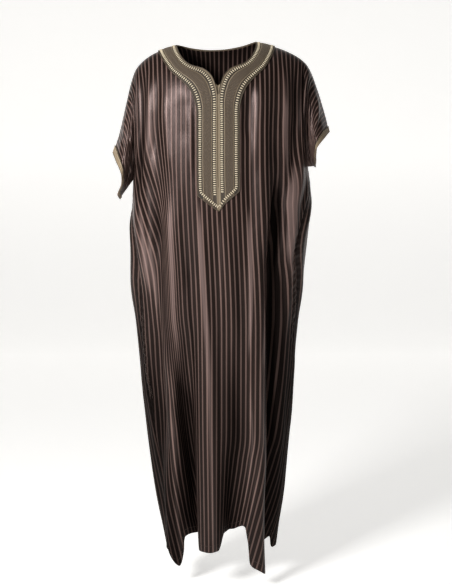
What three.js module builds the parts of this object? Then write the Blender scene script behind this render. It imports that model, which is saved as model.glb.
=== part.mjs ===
// A worn, short-sleeved djellaba of striped satin with an embroidered neck band.
// Millimetres, +Z up, the front faces -Y, and the origin lies between the shoulders.
// Cloth coordinates: u runs across from the centre front or back, w runs down from the shoulder line.
import * as THREE from "three";

// Cloth and sewing
const WALL = 2;
const SEAM_GAP = 0.3;
const LENGTH = 1400;
const BODY_HALF = 288;
const WAIST_HALF = 258;
const HEM_HALF = 285;
const MIDDLE_SHIFT = 5;
const SLEEVE_HALF = 447;
const CUFF_DEPTH = 200;
const UNDERARM_DEPTH = 300;
const WAIST_DEPTH = 600;
const SHOULDER_ARC = 222;
const SHOULDER_DROP = 160;
const RING_POWER = 2.1;

// Neck, placket and bands
const NECK_HALF = 103;
const LAID_GAP = 0.7;
const CUFF_GAP = 1.1;
const BAND_WALL = 1.4;
const BRAID_WALL = 1.2;
const BRAID_END = 0.5;
const CUFF_BAND_WALL = 1.2;
const CUFF_BAND_WIDTH = 17;

const SATIN = { color: 0x47392f, roughness: 0.45, metalness: 0 };
const BAND = { color: 0x7f6e5c, roughness: 0.75, metalness: 0.1 };
const BRAID = { color: 0xd8c8ad, roughness: 0.7, metalness: 0 };

// The shoulder and overarm line on each side, from the neck point out to the cuff
const OVERARM = {
  left: [
    { u: 0, x: 0, z: 0 },
    { u: 103, x: -104, z: -5 },
    { u: 168, x: -165, z: -26 },
    { u: 220, x: -205, z: -58 },
    { u: 255, x: -220, z: -90 },
    { u: 320, x: -236, z: -153 },
    { u: 401, x: -255, z: -232 },
    { u: 447, x: -271, z: -280 },
  ],
  right: [
    { u: 0, x: 0, z: 0 },
    { u: 103, x: 102, z: 3 },
    { u: 168, x: 165, z: -12 },
    { u: 220, x: 213, z: -34 },
    { u: 255, x: 239, z: -58 },
    { u: 320, x: 262, z: -112 },
    { u: 401, x: 286, z: -188 },
    { u: 447, x: 295, z: -226 },
  ],
};

// The edge of each cuff, from the overarm point (q = 0) to the underarm (q = 1)
const CUFF_EDGE = {
  left: [
    { q: 0, x: -271, y: 0, z: -280 },
    { q: 0.2, x: -260, y: 40, z: -302 },
    { q: 0.45, x: -247, y: 62, z: -330 },
    { q: 0.7, x: -245, y: 52, z: -362 },
    { q: 0.88, x: -258, y: 26, z: -390 },
    { q: 1, x: -256, y: 0, z: -402 },
  ],
  right: [
    { q: 0, x: 295, y: 0, z: -226 },
    { q: 0.2, x: 279, y: 40, z: -243 },
    { q: 0.45, x: 261, y: 58, z: -266 },
    { q: 0.7, x: 258, y: 46, z: -288 },
    { q: 0.88, x: 260, y: 27, z: -306 },
    { q: 1, x: 261, y: 0, z: -316 },
  ],
};

// The body in plan at each height: half widths and half depths
const SECTIONS = [
  { z: 0, left: 208, right: 222, front: 116, back: 100 },
  { z: -160, left: 213, right: 238, front: 122, back: 106 },
  { z: -290, left: 217, right: 238, front: 127, back: 112 },
  { z: -390, left: 221, right: 249, front: 129, back: 116 },
  { z: -510, left: 227, right: 240, front: 129, back: 119 },
  { z: -620, left: 226, right: 228, front: 128, back: 121 },
  { z: -760, left: 212, right: 214, front: 127, back: 123 },
  { z: -910, left: 199, right: 204, front: 125, back: 125 },
  { z: -1060, left: 183, right: 190, front: 123, back: 126 },
  { z: -1200, left: 164, right: 178, front: 121, back: 127 },
  { z: -1320, left: 140, right: 164, front: 119, back: 126 },
  { z: -1450, left: 118, right: 148, front: 117, back: 124 },
];

// Long folds: place across at the top and the bottom, how far they stand out (a valley is negative)
const FRONT_FOLDS = [
  { name: "right side valley", top: -300, end: -560, x0: 168, x1: 146, out0: -12, out1: -36, wide: 17 },
  { name: "left hem valley", top: -640, end: -1380, x0: -72, x1: -65, out0: 0, out1: -86, wide: 19 },
  { name: "right hem valley", top: -960, end: -1380, x0: 56, x1: 63, out0: 0, out1: -74, wide: 20 },
  { name: "left crest", top: -380, end: -1380, x0: -118, x1: -100, out0: 4, out1: 16, wide: 22 },
  { name: "centre crest", top: -450, end: -1380, x0: -36, x1: 6, out0: 2, out1: 13, wide: 17 },
  { name: "right crest", top: -480, end: -1380, x0: 82, x1: 98, out0: 3, out1: 15, wide: 20 },
  { name: "left chest valley", top: -150, end: -700, x0: -148, x1: -150, out0: -3, out1: -14, wide: 18 },
  { name: "right chest valley", top: -110, end: -520, x0: 88, x1: 84, out0: -5, out1: -6, wide: 15 },
  { name: "right chest crest", top: -110, end: -560, x0: 128, x1: 120, out0: 4, out1: 10, wide: 20 },
];
const BACK_FOLDS = [
  { name: "left back valley", top: -260, end: -1380, x0: -120, x1: -96, out0: -4, out1: -42, wide: 22 },
  { name: "left back crest", top: -300, end: -1380, x0: -66, x1: -48, out0: 3, out1: 14, wide: 20 },
  { name: "middle back valley", top: -420, end: -1380, x0: -12, x1: 4, out0: -2, out1: -46, wide: 23 },
  { name: "right back crest", top: -300, end: -1380, x0: 62, x1: 58, out0: 3, out1: 14, wide: 20 },
  { name: "right back valley", top: -240, end: -1380, x0: 122, x1: 108, out0: -4, out1: -40, wide: 22 },
];
// The armhole inside each sleeve: half its depth, how far it tucks in, and where that starts
const ARMHOLE = { half: 46, tuck: 8, from: 215 };
const HEM = { centre: -1322, side: -1376, valleyRise: 0.22 };

const clamp01 = (t) => Math.min(1, Math.max(0, t));
const mix = (a, b, t) => a + (b - a) * t;
const smooth = (t) => clamp01(t) ** 2 * (3 - 2 * clamp01(t));

// A smooth value of a table's column at key, through its rows.
function lookup(rows, keyName, key, column) {
  const falling = rows[0][keyName] > rows[1][keyName];
  const ahead = (row) => (falling ? row[keyName] < key : row[keyName] > key);
  const found = rows.findIndex(ahead);
  const i = found < 0 ? rows.length - 2 : Math.max(0, found - 1);
  const at = (k) => rows[Math.min(rows.length - 1, Math.max(0, k))];
  const [p, a, b, n] = [at(i - 1), at(i), at(i + 1), at(i + 2)];
  const span = b[keyName] - a[keyName];
  const t = clamp01((key - a[keyName]) / span);
  const slopeIn = ((b[column] - p[column]) / (b[keyName] - p[keyName])) * span;
  const slopeOut = ((n[column] - a[column]) / (n[keyName] - a[keyName])) * span;
  const t2 = t * t;
  const t3 = t2 * t;
  const ends = (2 * t3 - 3 * t2 + 1) * a[column] + (3 * t2 - 2 * t3) * b[column];
  return ends + (t3 - 2 * t2 + t) * slopeIn + (t3 - t2) * slopeOut;
}

const sideOf = (u) => (u < 0 ? "left" : "right");

function overarm(u) {
  const rows = OVERARM[sideOf(u)];
  return {
    x: lookup(rows, "u", Math.abs(u), "x"),
    z: lookup(rows, "u", Math.abs(u), "z"),
  };
}

// How far the folds push the cloth out at x and height z.
function foldOut(folds, x, z) {
  let out = 0;
  for (const fold of folds) {
    const t = (fold.top - z) / (fold.top - fold.end);
    const place = mix(fold.x0, fold.x1, clamp01(t));
    const height = mix(fold.out0, fold.out1, clamp01(t)) * smooth((fold.top - z) / 120);
    out += height * Math.exp(-(((x - place) / fold.wide) ** 2));
  }
  return out;
}

// The body's plan section at a whole height, as points round it with their arc from its front centre.
const RING_STEPS = 360;
const rings = new Map();
function ring(level) {
  if (rings.has(level)) return rings.get(level);
  const left = lookup(SECTIONS, "z", level, "left");
  const right = lookup(SECTIONS, "z", level, "right");
  const front = lookup(SECTIONS, "z", level, "front");
  const back = lookup(SECTIONS, "z", level, "back");
  const frontFace = (angle) => Math.abs(angle) < Math.PI / 2;
  const points = [];
  for (let i = 0; i <= RING_STEPS; i++) {
    const angle = mix(-Math.PI, Math.PI, i / RING_STEPS);
    const wide = angle < 0 ? left : right;
    const deep = frontFace(angle) ? front : back;
    const c = Math.abs(Math.cos(angle)) ** (2 / RING_POWER);
    const s = Math.abs(Math.sin(angle)) ** (2 / RING_POWER);
    const x = wide * s * Math.sign(angle);
    const y = deep * c * (frontFace(angle) ? -1 : 1);
    const nx = x / wide ** 2;
    const ny = y / deep ** 2;
    const n = Math.hypot(nx, ny);
    const out = foldOut(frontFace(angle) ? FRONT_FOLDS : BACK_FOLDS, x, level) * smooth(Math.abs(y) / 45);
    points.push({ x: x + (out * nx) / n, y: y + (out * ny) / n, out });
  }
  let arc = 0;
  points[0].arc = 0;
  for (let i = 1; i < points.length; i++) {
    arc += Math.hypot(points[i].x - points[i - 1].x, points[i].y - points[i - 1].y);
    points[i].arc = arc;
  }
  const middle = points[RING_STEPS / 2].arc;
  for (const point of points) point.arc -= middle;
  const made = { points, total: arc, leftEnd: points[0].arc, rightEnd: points[RING_STEPS].arc };
  rings.set(level, made);
  return made;
}

function alongRing(made, arc) {
  const { points } = made;
  let low = 0;
  let high = points.length - 1;
  while (high - low > 1) {
    const half = (low + high) >> 1;
    if (points[half].arc <= arc) low = half;
    else high = half;
  }
  const t = clamp01((arc - points[low].arc) / (points[high].arc - points[low].arc));
  return {
    x: mix(points[low].x, points[high].x, t),
    y: mix(points[low].y, points[high].y, t),
    out: mix(points[low].out, points[high].out, t),
  };
}

// A point of the body: the front takes its true arc, the back shares what is left.
function bodyAt(facing, u, z, half) {
  const low = Math.floor(z);
  const t = z - low;
  const at = (level) => {
    const made = ring(level);
    if (facing < 0) return alongRing(made, u + MIDDLE_SHIFT);
    const end = u < 0 ? made.leftEnd : made.rightEnd;
    const rest = Math.abs(end - MIDDLE_SHIFT) - half;
    return alongRing(made, end - Math.sign(end) * rest * (Math.abs(u) / half));
  };
  const a = at(low);
  const b = at(low + 1);
  return { x: mix(a.x, b.x, t), y: mix(a.y, b.y, t), out: mix(a.out, b.out, t) };
}

// Half the width of the front or back at depth w, straight at the armhole and drawn in a little below.
function bodyHalf(w) {
  const narrowed = smooth((w - UNDERARM_DEPTH) / (WAIST_DEPTH - UNDERARM_DEPTH));
  const widened = smooth((w - WAIST_DEPTH) / (LENGTH - WAIST_DEPTH));
  return mix(mix(BODY_HALF, WAIST_HALF, narrowed), HEM_HALF, widened);
}

// The armhole's gape: front and back stand apart here, so that the sleeve opens into the body.
function gape(u, w) {
  const near = smooth((Math.abs(u) - ARMHOLE.from) / (BODY_HALF - ARMHOLE.from));
  return near * Math.sin(Math.PI * clamp01(w / UNDERARM_DEPTH));
}

// The panel over the body: a quarter round over the shoulder, then straight down to the hem.
function panelPoint(facing, u, w) {
  const point = hangingPoint(facing, u, w);
  const open = gape(u, w);
  point.x -= Math.sign(u) * ARMHOLE.tuck * open;
  point.y += facing * ARMHOLE.half * open;
  return point;
}

function hangingPoint(facing, u, w) {
  const half = bodyHalf(w);
  const across = Math.min(Math.abs(u), half) * Math.sign(u || 1);
  const top = overarm(across);
  const turned = top.z - SHOULDER_DROP;
  if (w < SHOULDER_ARC) {
    const angle = (w / SHOULDER_ARC) * (Math.PI / 2);
    const base = bodyAt(facing, across, turned, half);
    return new THREE.Vector3(
      mix(top.x, base.x, Math.sin(angle)),
      base.y * Math.sin(angle),
      top.z - SHOULDER_DROP * (1 - Math.cos(angle)),
    );
  }
  const sideways = (across / BODY_HALF) ** 2;
  const hemBase = mix(HEM.centre, HEM.side, sideways);
  const hemFold = bodyAt(facing, across, hemBase, half).out;
  const hem = hemBase - Math.min(0, hemFold) * HEM.valleyRise;
  const z = mix(turned, hem, (w - SHOULDER_ARC) / (LENGTH - SHOULDER_ARC));
  const base = bodyAt(facing, across, z, half);
  return new THREE.Vector3(base.x, base.y, z);
}

// The sleeve: between the body's side line and the cuff's edge, under the overarm line.
function sleevePoint(facing, u, q) {
  const rows = CUFF_EDGE[sideOf(u)];
  const side = Math.sign(u);
  const share = clamp01((Math.abs(u) - BODY_HALF) / (SLEEVE_HALF - BODY_HALF));
  const inner = panelPoint(facing, side * BODY_HALF, q * UNDERARM_DEPTH);
  const cuff = new THREE.Vector3(
    lookup(rows, "q", q, "x"),
    lookup(rows, "q", q, "y") * facing,
    lookup(rows, "q", q, "z"),
  );
  const round = mix(share, smooth(share), Math.sin(q * Math.PI));
  const point = inner.clone().lerp(cuff, share);
  point.y = mix(inner.y, cuff.y, round);
  const line = overarm(u);
  const first = overarm(side * BODY_HALF);
  point.x += (line.x - mix(first.x, rows[0].x, share)) * (1 - q) ** 2;
  point.z += (line.z - mix(first.z, rows[0].z, share)) * (1 - q) ** 2;
  return point;
}

// The outer face of the cloth at cloth place u, w.
function clothPoint(facing, u, w) {
  if (Math.abs(u) <= BODY_HALF || w >= UNDERARM_DEPTH) return panelPoint(facing, u, w);
  const share = (Math.abs(u) - BODY_HALF) / (SLEEVE_HALF - BODY_HALF);
  const depth = mix(UNDERARM_DEPTH, CUFF_DEPTH, share);
  return sleevePoint(facing, u, clamp01(w / depth));
}

// The outward direction of the cloth there.
function clothNormal(facing, u, w) {
  const step = 3;
  const half = w < UNDERARM_DEPTH ? SLEEVE_HALF : bodyHalf(w);
  const u0 = Math.max(-half, u - step);
  const u1 = Math.min(half, u + step);
  const w0 = Math.max(0, w - step);
  const across = clothPoint(facing, u1, w).sub(clothPoint(facing, u0, w));
  const down = clothPoint(facing, u, w + step).sub(clothPoint(facing, u, w0));
  const out = down.cross(across).multiplyScalar(-facing);
  if (w < 25) {
    const up = new THREE.Vector3(Math.sign(u) * clamp01((Math.abs(u) - 180) / 60) * 1.8, 0, 1);
    out.normalize().lerp(up.normalize(), 0.75 * (1 - w / 25));
  }
  return out.normalize();
}

function lifted(facing, u, w, lift) {
  return clothPoint(facing, u, w).addScaledVector(clothNormal(facing, u, w), lift);
}

// A point on the shoulder seam or a side seam: both panels share its direction and stand half the gap back.
function seamed(facing, u, w, lift, into) {
  const out = clothNormal(-1, u, w).add(clothNormal(1, u, w)).normalize();
  const point = clothPoint(facing, u, w);
  const way = clothPoint(facing, u + into.u, w + into.w).sub(point);
  way.addScaledVector(out, -way.dot(out)).normalize();
  return point.addScaledVector(out, lift).addScaledVector(way, SEAM_GAP * 0.75);
}

// A point on an armhole seam: aside is -1 on the body's edge and 1 on the sleeve's.
function armholePoint(facing, side, w, lift, aside) {
  const q = clamp01(w / UNDERARM_DEPTH);
  const bulge = Math.sin(Math.PI * q);
  const out = new THREE.Vector3(side * mix(0.9, 0.5, bulge), facing * 0.85 * bulge, 0.44 * (1 - q) ** 2);
  const point = clothPoint(facing, side * BODY_HALF, w).addScaledVector(out.normalize(), lift);
  point.x += aside * side * SEAM_GAP;
  point.y += q === 0 && aside < 0 ? facing * SEAM_GAP : 0;
  return point;
}

// The neck edge: w at distance u from the middle.
const FRONT_NECK = [
  { u: 0, w: 200 },
  { u: 12, w: 163 },
  { u: 36, w: 138 },
  { u: 65, w: 128 },
  { u: 91, w: 98 },
  { u: 100, w: 63 },
  { u: 103, w: 0 },
];
const BACK_NECK = [
  { u: 0, w: 58 },
  { u: 40, w: 55 },
  { u: 72, w: 43 },
  { u: 92, w: 24 },
  { u: 103, w: 0 },
];
const neckEdge = (rows, u) =>
  Math.abs(u) >= NECK_HALF ? 0 : Math.max(0, lookup(rows, "u", Math.abs(u), "w"));

// A closed wall over a grid of cells: outer and inner points, and rims wherever a cell has no neighbour.
function wall(rows, cols, pointAt, live, wrapped = false) {
  const vertices = [];
  const faces = [];
  const seen = new Map();
  const vertex = (i, j, skin) => {
    const row = wrapped ? i % rows : i;
    const key = (row * (cols + 1) + j) * 2 + skin;
    if (!seen.has(key)) {
      seen.set(key, vertices.length / 3);
      vertices.push(...pointAt(row, j, skin).toArray());
    }
    return seen.get(key);
  };
  const quad = (a, b, c, d) => faces.push(a, b, c, a, c, d);
  const inRows = (i) => wrapped || (i >= 0 && i < rows);
  const alive = (i, j) => inRows(i) && j >= 0 && j < cols && live(i, j);
  for (let i = 0; i < rows; i++) {
    for (let j = 0; j < cols; j++) {
      if (!alive(i, j)) continue;
      const o = [vertex(i, j, 1), vertex(i + 1, j, 1), vertex(i + 1, j + 1, 1), vertex(i, j + 1, 1)];
      const n = [vertex(i, j, 0), vertex(i + 1, j, 0), vertex(i + 1, j + 1, 0), vertex(i, j + 1, 0)];
      quad(o[0], o[1], o[2], o[3]);
      quad(n[3], n[2], n[1], n[0]);
      if (!alive(i, j - 1)) quad(n[0], n[1], o[1], o[0]);
      if (!alive(i + 1, j)) quad(n[1], n[2], o[2], o[1]);
      if (!alive(i, j + 1)) quad(n[2], n[3], o[3], o[2]);
      if (!alive(i - 1, j)) quad(n[3], n[0], o[0], o[3]);
    }
  }
  const geometry = new THREE.BufferGeometry();
  geometry.setAttribute("position", new THREE.Float32BufferAttribute(vertices, 3));
  geometry.setIndex(faces);
  return geometry;
}

// Faces turned round where the grid runs the other way.
function facingOut(geometry, flip) {
  if (!flip) return geometry;
  const index = geometry.getIndex().array;
  for (let k = 0; k < index.length; k += 3) [index[k + 1], index[k + 2]] = [index[k + 2], index[k + 1]];
  return geometry;
}

// Columns across half a panel at the armhole's level.
const FRONT_COLUMNS = [12, 36, 52, 65, 79, 91, 97, 103, 120, 140, 160, 180, 200, 220, 238, 256, 272, 288];
const BACK_COLUMNS = [0, 20, 40, 60, 80, 92, 103, 125, 147, 169, 191, 211, 231, 251, 270, 288];

// Rows down a panel: upper ones start at the neck edge, lower ones run straight across.
const UPPER_ROWS = [0, 0.06, 0.14, 0.23, 0.34, 0.45, 0.56, 0.67, 0.78, 0.89, 1];
const LOWER_ROWS = 16;
const SLIT_ROWS = 11;
const SLIT_HALF = 0.8;
function rowDepth(row, start) {
  if (row < UPPER_ROWS.length) return mix(start, UNDERARM_DEPTH, UPPER_ROWS[row]);
  return mix(UNDERARM_DEPTH, LENGTH, (row - UPPER_ROWS.length + 1) / LOWER_ROWS);
}

// The front or the back. The front is slit down its middle from the neck.
function panel(facing, neckRows, columns, slit) {
  const half = slit ? [SLIT_HALF, ...columns] : columns;
  const places = [...half.filter((u) => u > 0).map((u) => -u).reverse(), ...half];
  const rows = UPPER_ROWS.length - 1 + LOWER_ROWS;
  const cols = places.length - 1;
  const middle = half.length - 1;
  const pointAt = (i, j, skin) => {
    const place = places[j];
    const start = neckEdge(neckRows, place);
    const w = rowDepth(i, start);
    const u = (place / BODY_HALF) * bodyHalf(w);
    const lift = (skin - 1) * WALL;
    const edge = Math.abs(place) === BODY_HALF;
    if (edge && w < UNDERARM_DEPTH) return armholePoint(facing, Math.sign(u), w, lift, -1);
    if (edge) return seamed(facing, u, w, lift, { u: -4 * Math.sign(u), w: 0 });
    if (i === 0 && start === 0) return seamed(facing, u, w, lift, { u: 0, w: 4 });
    return lifted(facing, u, w, lift);
  };
  const live = (i, j) => !(slit && j === middle && i < SLIT_ROWS);
  return facingOut(wall(rows, cols, pointAt, live), facing > 0);
}

// A sleeve: a tube round the arm, from the armhole seam out to the cuff.
const SLEEVE_COLUMNS = [288, 306, 338, 374, 410, 447];
function sleeve(side) {
  const front = UPPER_ROWS.length - 1;
  const pointAt = (i, j, skin) => {
    const turn = i % (2 * front);
    const facing = turn <= front ? -1 : 1;
    const q = UPPER_ROWS[turn <= front ? turn : 2 * front - turn];
    const u = side * SLEEVE_COLUMNS[j];
    const share = (SLEEVE_COLUMNS[j] - BODY_HALF) / (SLEEVE_HALF - BODY_HALF);
    const w = q * mix(UNDERARM_DEPTH, CUFF_DEPTH, share);
    const lift = (skin - 1) * WALL;
    if (j === 0) return armholePoint(facing, side, w, lift, 1);
    return ringed(facing, u, w, q, lift);
  };
  return facingOut(wall(2 * front, SLEEVE_COLUMNS.length - 1, pointAt, () => true, true), side < 0);
}

// A point on a ring round the sleeve: the front and back half share their direction at its folds.
function ringed(facing, u, w, q, lift) {
  const out = clothNormal(facing, u, w);
  if (q === 1) out.set(0, 0, -1);
  if (q === 0) out.set(Math.sign(u) * 0.9, 0, 0.44);
  return clothPoint(facing, u, w).addScaledVector(out, lift);
}

// The front neck band, one side: its inner and outer edge from the shoulder round the neck to the point.
const FRONT_BAND = [
  { inU: 103, inW: 0, outU: 153, outW: 0 },
  { inU: 100, inW: 62, outU: 151, outW: 46 },
  { inU: 91, inW: 97, outU: 142, outW: 88 },
  { inU: 79, inW: 117, outU: 124, outW: 130 },
  { inU: 65, inW: 128, outU: 104, outW: 154 },
  { inU: 48, inW: 134, outU: 86, outW: 172 },
  { inU: 34, inW: 139, outU: 71, outW: 189 },
  { inU: 20, inW: 151, outU: 61, outW: 208 },
  { inU: 11, inW: 165, outU: 56, outW: 226 },
  { inU: 1, inW: 200, outU: 54, outW: 246 },
  { inU: 1, inW: 262, outU: 54, outW: 290 },
  { inU: 1, inW: 330, outU: 54, outW: 345 },
  { inU: 1, inW: 395, outU: 54, outW: 400 },
  { inU: 1, inW: 455, outU: 54, outW: 438 },
  { inU: 1, inW: 498, outU: 53, outW: 455 },
];
const BACK_BAND = [
  { inU: 103, inW: 0, outU: 153, outW: 0 },
  { inU: 98, inW: 14, outU: 148, outW: 26 },
  { inU: 88, inW: 29, outU: 134, outW: 53 },
  { inU: 72, inW: 43, outU: 112, outW: 80 },
  { inU: 50, inW: 52, outU: 78, outW: 100 },
  { inU: 24, inW: 57, outU: 38, outW: 108 },
  { inU: 0, inW: 58, outU: 0, outW: 110 },
];

// A place on a band: row runs down its table, across runs from its inner to its outer edge.
function bandPlace(rows, row, across) {
  const keyed = rows.map((entry, key) => ({ ...entry, key }));
  const at = (column) => lookup(keyed, "key", row, column);
  return {
    u: mix(at("inU"), at("outU"), across),
    w: mix(at("inW"), at("outW"), across),
  };
}

// What is laid on a panel: its points moved out, between two heights over the panel's outer face.
function laidPoint(facing, place, low, high, skin) {
  return lifted(facing, place.u, place.w, skin ? high : low);
}

const BAND_STEPS = 3;
const BAND_COLUMNS = 3;
function frontBand() {
  const rows = (FRONT_BAND.length - 1) * BAND_STEPS;
  const middle = BAND_COLUMNS;
  const slitRows = rows - 4;
  const pointAt = (i, j, skin) => {
    const side = j <= middle ? -1 : 1;
    const across = (j <= middle ? middle - j : j - middle - 1) / BAND_COLUMNS;
    const place = bandPlace(FRONT_BAND, i / BAND_STEPS, across);
    place.u = side * Math.max(SLIT_HALF, place.u);
    const point = laidPoint(-1, place, LAID_GAP, LAID_GAP + BAND_WALL, skin);
    if (i === 0) point.y -= SEAM_GAP;
    return point;
  };
  const live = (i, j) => j !== middle || i >= slitRows;
  return wall(rows, 2 * BAND_COLUMNS + 1, pointAt, live);
}

function backBand() {
  const half = (BACK_BAND.length - 1) * BAND_STEPS;
  const pointAt = (i, j, skin) => {
    const side = i < half ? -1 : 1;
    const place = bandPlace(BACK_BAND, (half - Math.abs(i - half)) / BAND_STEPS, j / BAND_COLUMNS);
    const point = laidPoint(1, { u: side * place.u, w: place.w }, LAID_GAP, LAID_GAP + BAND_WALL, skin);
    if (i === 0 || i === 2 * half) point.y += SEAM_GAP;
    return point;
  };
  return wall(2 * half, BAND_COLUMNS, pointAt, () => true);
}

// A raised row of braid on the front band, between two shares of its width.
function braid(side, from, to) {
  const rows = (FRONT_BAND.length - 1) * BAND_STEPS;
  const low = LAID_GAP + BAND_WALL + SEAM_GAP;
  const pointAt = (i, j, skin) => {
    const inset = mix(0.25, FRONT_BAND.length - 1 - BRAID_END, i / rows);
    const place = bandPlace(FRONT_BAND, inset, mix(from, to, j));
    return laidPoint(-1, { u: side * place.u, w: place.w }, low, low + BRAID_WALL, skin);
  };
  return facingOut(wall(rows, 1, pointAt, () => true), side < 0);
}

// The cuff's band: a ring laid on the sleeve's edge.
const CUFF_STEPS = 14;
function cuffBand(side) {
  const pointAt = (i, j, skin) => {
    const facing = i <= CUFF_STEPS ? -1 : 1;
    const q = 1 - Math.abs(i - CUFF_STEPS) / CUFF_STEPS;
    const u = SLEEVE_HALF - CUFF_BAND_WIDTH * (1 - j);
    const share = (u - BODY_HALF) / (SLEEVE_HALF - BODY_HALF);
    const w = q * mix(UNDERARM_DEPTH, CUFF_DEPTH, share);
    return ringed(facing, side * u, w, q, CUFF_GAP + (skin ? CUFF_BAND_WALL : 0));
  };
  return facingOut(wall(2 * CUFF_STEPS, 1, pointAt, () => true, true), side < 0);
}

const group = new THREE.Group();
function add(name, geometry, look) {
  const mesh = new THREE.Mesh(geometry, new THREE.MeshStandardMaterial(look));
  mesh.name = name;
  group.add(mesh);
}

add("front", panel(-1, FRONT_NECK, FRONT_COLUMNS, true), SATIN);
add("back", panel(1, BACK_NECK, BACK_COLUMNS, false), SATIN);
add("front_band", frontBand(), BAND);
add("back_band", backBand(), BAND);
for (const [name, side] of [["left", -1], ["right", 1]]) {
  add(`braid_inner_${name}`, braid(side, 0.06, 0.22), BRAID);
  add(`braid_outer_${name}`, braid(side, 0.78, 0.94), BRAID);
  add(`sleeve_${name}`, sleeve(side), SATIN);
  add(`cuff_band_${name}`, cuffBand(side), BAND);
}

export default group;
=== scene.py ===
"""A worn, hollow, short-sleeved djellaba of striped satin with an embroidered neck band.

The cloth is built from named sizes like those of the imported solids, with a narrower waist and hem and a
closer hem line. They are in millimetres, and are put into metres when a mesh is made. Cloth places are u,
across from the middle, and w, down from the shoulder line.
"""

import logging
import math
from dataclasses import dataclass, field
from enum import Enum
from typing import Sequence

import bmesh
import bpy
import numpy as np
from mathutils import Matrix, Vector


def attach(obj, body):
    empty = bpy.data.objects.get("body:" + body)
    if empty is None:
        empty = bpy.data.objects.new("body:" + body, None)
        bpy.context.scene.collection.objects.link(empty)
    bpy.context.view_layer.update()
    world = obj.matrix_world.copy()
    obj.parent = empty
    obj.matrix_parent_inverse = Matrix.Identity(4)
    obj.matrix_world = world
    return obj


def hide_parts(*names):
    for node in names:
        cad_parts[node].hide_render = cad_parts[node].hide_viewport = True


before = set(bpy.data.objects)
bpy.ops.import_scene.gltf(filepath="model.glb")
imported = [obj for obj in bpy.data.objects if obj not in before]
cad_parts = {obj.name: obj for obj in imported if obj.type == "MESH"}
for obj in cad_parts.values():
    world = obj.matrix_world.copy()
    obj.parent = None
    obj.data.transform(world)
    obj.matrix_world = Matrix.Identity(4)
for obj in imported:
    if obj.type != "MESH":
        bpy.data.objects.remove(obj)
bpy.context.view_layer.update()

log = logging.getLogger("djellaba")
MM = 0.001
Array = np.ndarray


class Facing(Enum):
    """Which half of the garment a piece belongs to."""

    FRONT = -1
    BACK = 1


class Side(Enum):
    """The side, as seen by someone who looks at the front."""

    LEFT = -1
    RIGHT = 1


# Small sums

def clamp01(t: Array) -> Array:
    """Return t held between 0 and 1."""
    return np.clip(t, 0.0, 1.0)


def mix(a: Array, b: Array, t: Array) -> Array:
    """Return the blend from a to b at share t."""
    return a + (b - a) * t


def smooth(t: Array) -> Array:
    """Return a soft step from 0 to 1."""
    held = clamp01(t)
    return held * held * (3.0 - 2.0 * held)


def bell(distance: Array, width: float) -> Array:
    """Return a soft bump that is 1 at distance 0."""
    return np.exp(-((distance / width) ** 2))


def unit(vectors: Array) -> Array:
    """Return vectors at length 1."""
    return vectors / np.maximum(np.linalg.norm(vectors, axis=-1, keepdims=True), 1e-9)


def run_along(steps: Array) -> Array:
    """Return how far along each point lies, from the lengths of the steps between them."""
    return np.concatenate([[0.0], np.cumsum(steps)])


@dataclass(frozen=True)
class Profile:
    """A smooth curve through measured rows; the first column is the key that it is read by."""

    columns: tuple[str, ...]
    rows: tuple[tuple[float, ...], ...]

    def at(self, column: str, key: Array) -> Array:
        """Read a column at each key.

        Args:
            column: The name of the column.
            key: Values of the first column.

        Returns:
            The column's values, smooth between the rows and held at the ends.
        """
        table = np.array(self.rows, dtype=float)
        keys = table[:, 0]
        values = table[:, self.columns.index(column)]
        rising = 1.0 if keys[1] > keys[0] else -1.0
        asked = np.asarray(key, dtype=float)
        last = len(keys) - 1
        i = np.clip(np.searchsorted(rising * keys, rising * asked, side="right") - 1, 0, last - 1)
        before = np.maximum(i - 1, 0)
        after = np.minimum(i + 2, last)
        span = keys[i + 1] - keys[i]
        t = clamp01((asked - keys[i]) / span)
        slope_in = (values[i + 1] - values[before]) / (keys[i + 1] - keys[before]) * span
        slope_out = (values[after] - values[i]) / (keys[after] - keys[i]) * span
        t2 = t * t
        t3 = t2 * t
        ends = (2 * t3 - 3 * t2 + 1) * values[i] + (3 * t2 - 2 * t3) * values[i + 1]
        return ends + (t3 - 2 * t2 + t) * slope_in + (t3 - t2) * slope_out


# The cut and the worn form, near to the solids'

@dataclass(frozen=True)
class Cut:
    """The sizes that the cloth was cut to."""

    length: float = 1400.0
    body_half: float = 288.0
    waist_half: float = 240.0
    hem_half: float = 264.0
    middle_shift: float = 5.0
    lower_shift: float = 20.0
    sleeve_half: float = 447.0
    cuff_depth: float = 200.0
    underarm_depth: float = 300.0
    waist_depth: float = 600.0
    shoulder_arc: float = 222.0
    shoulder_drop: float = 160.0
    neck_half: float = 103.0
    slit_half: float = 0.8
    wall: float = 1.2


@dataclass(frozen=True)
class Fold:
    """A long fold: its place across at the top and the bottom, and how far it stands out there."""

    top: float
    end: float
    x0: float
    x1: float
    out0: float
    out1: float
    wide: float


def folds(*rows: tuple[float, ...]) -> tuple[Fold, ...]:
    """Return folds from rows of top, end, x0, x1, out0, out1 and wide."""
    return tuple(Fold(*row) for row in rows)


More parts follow.
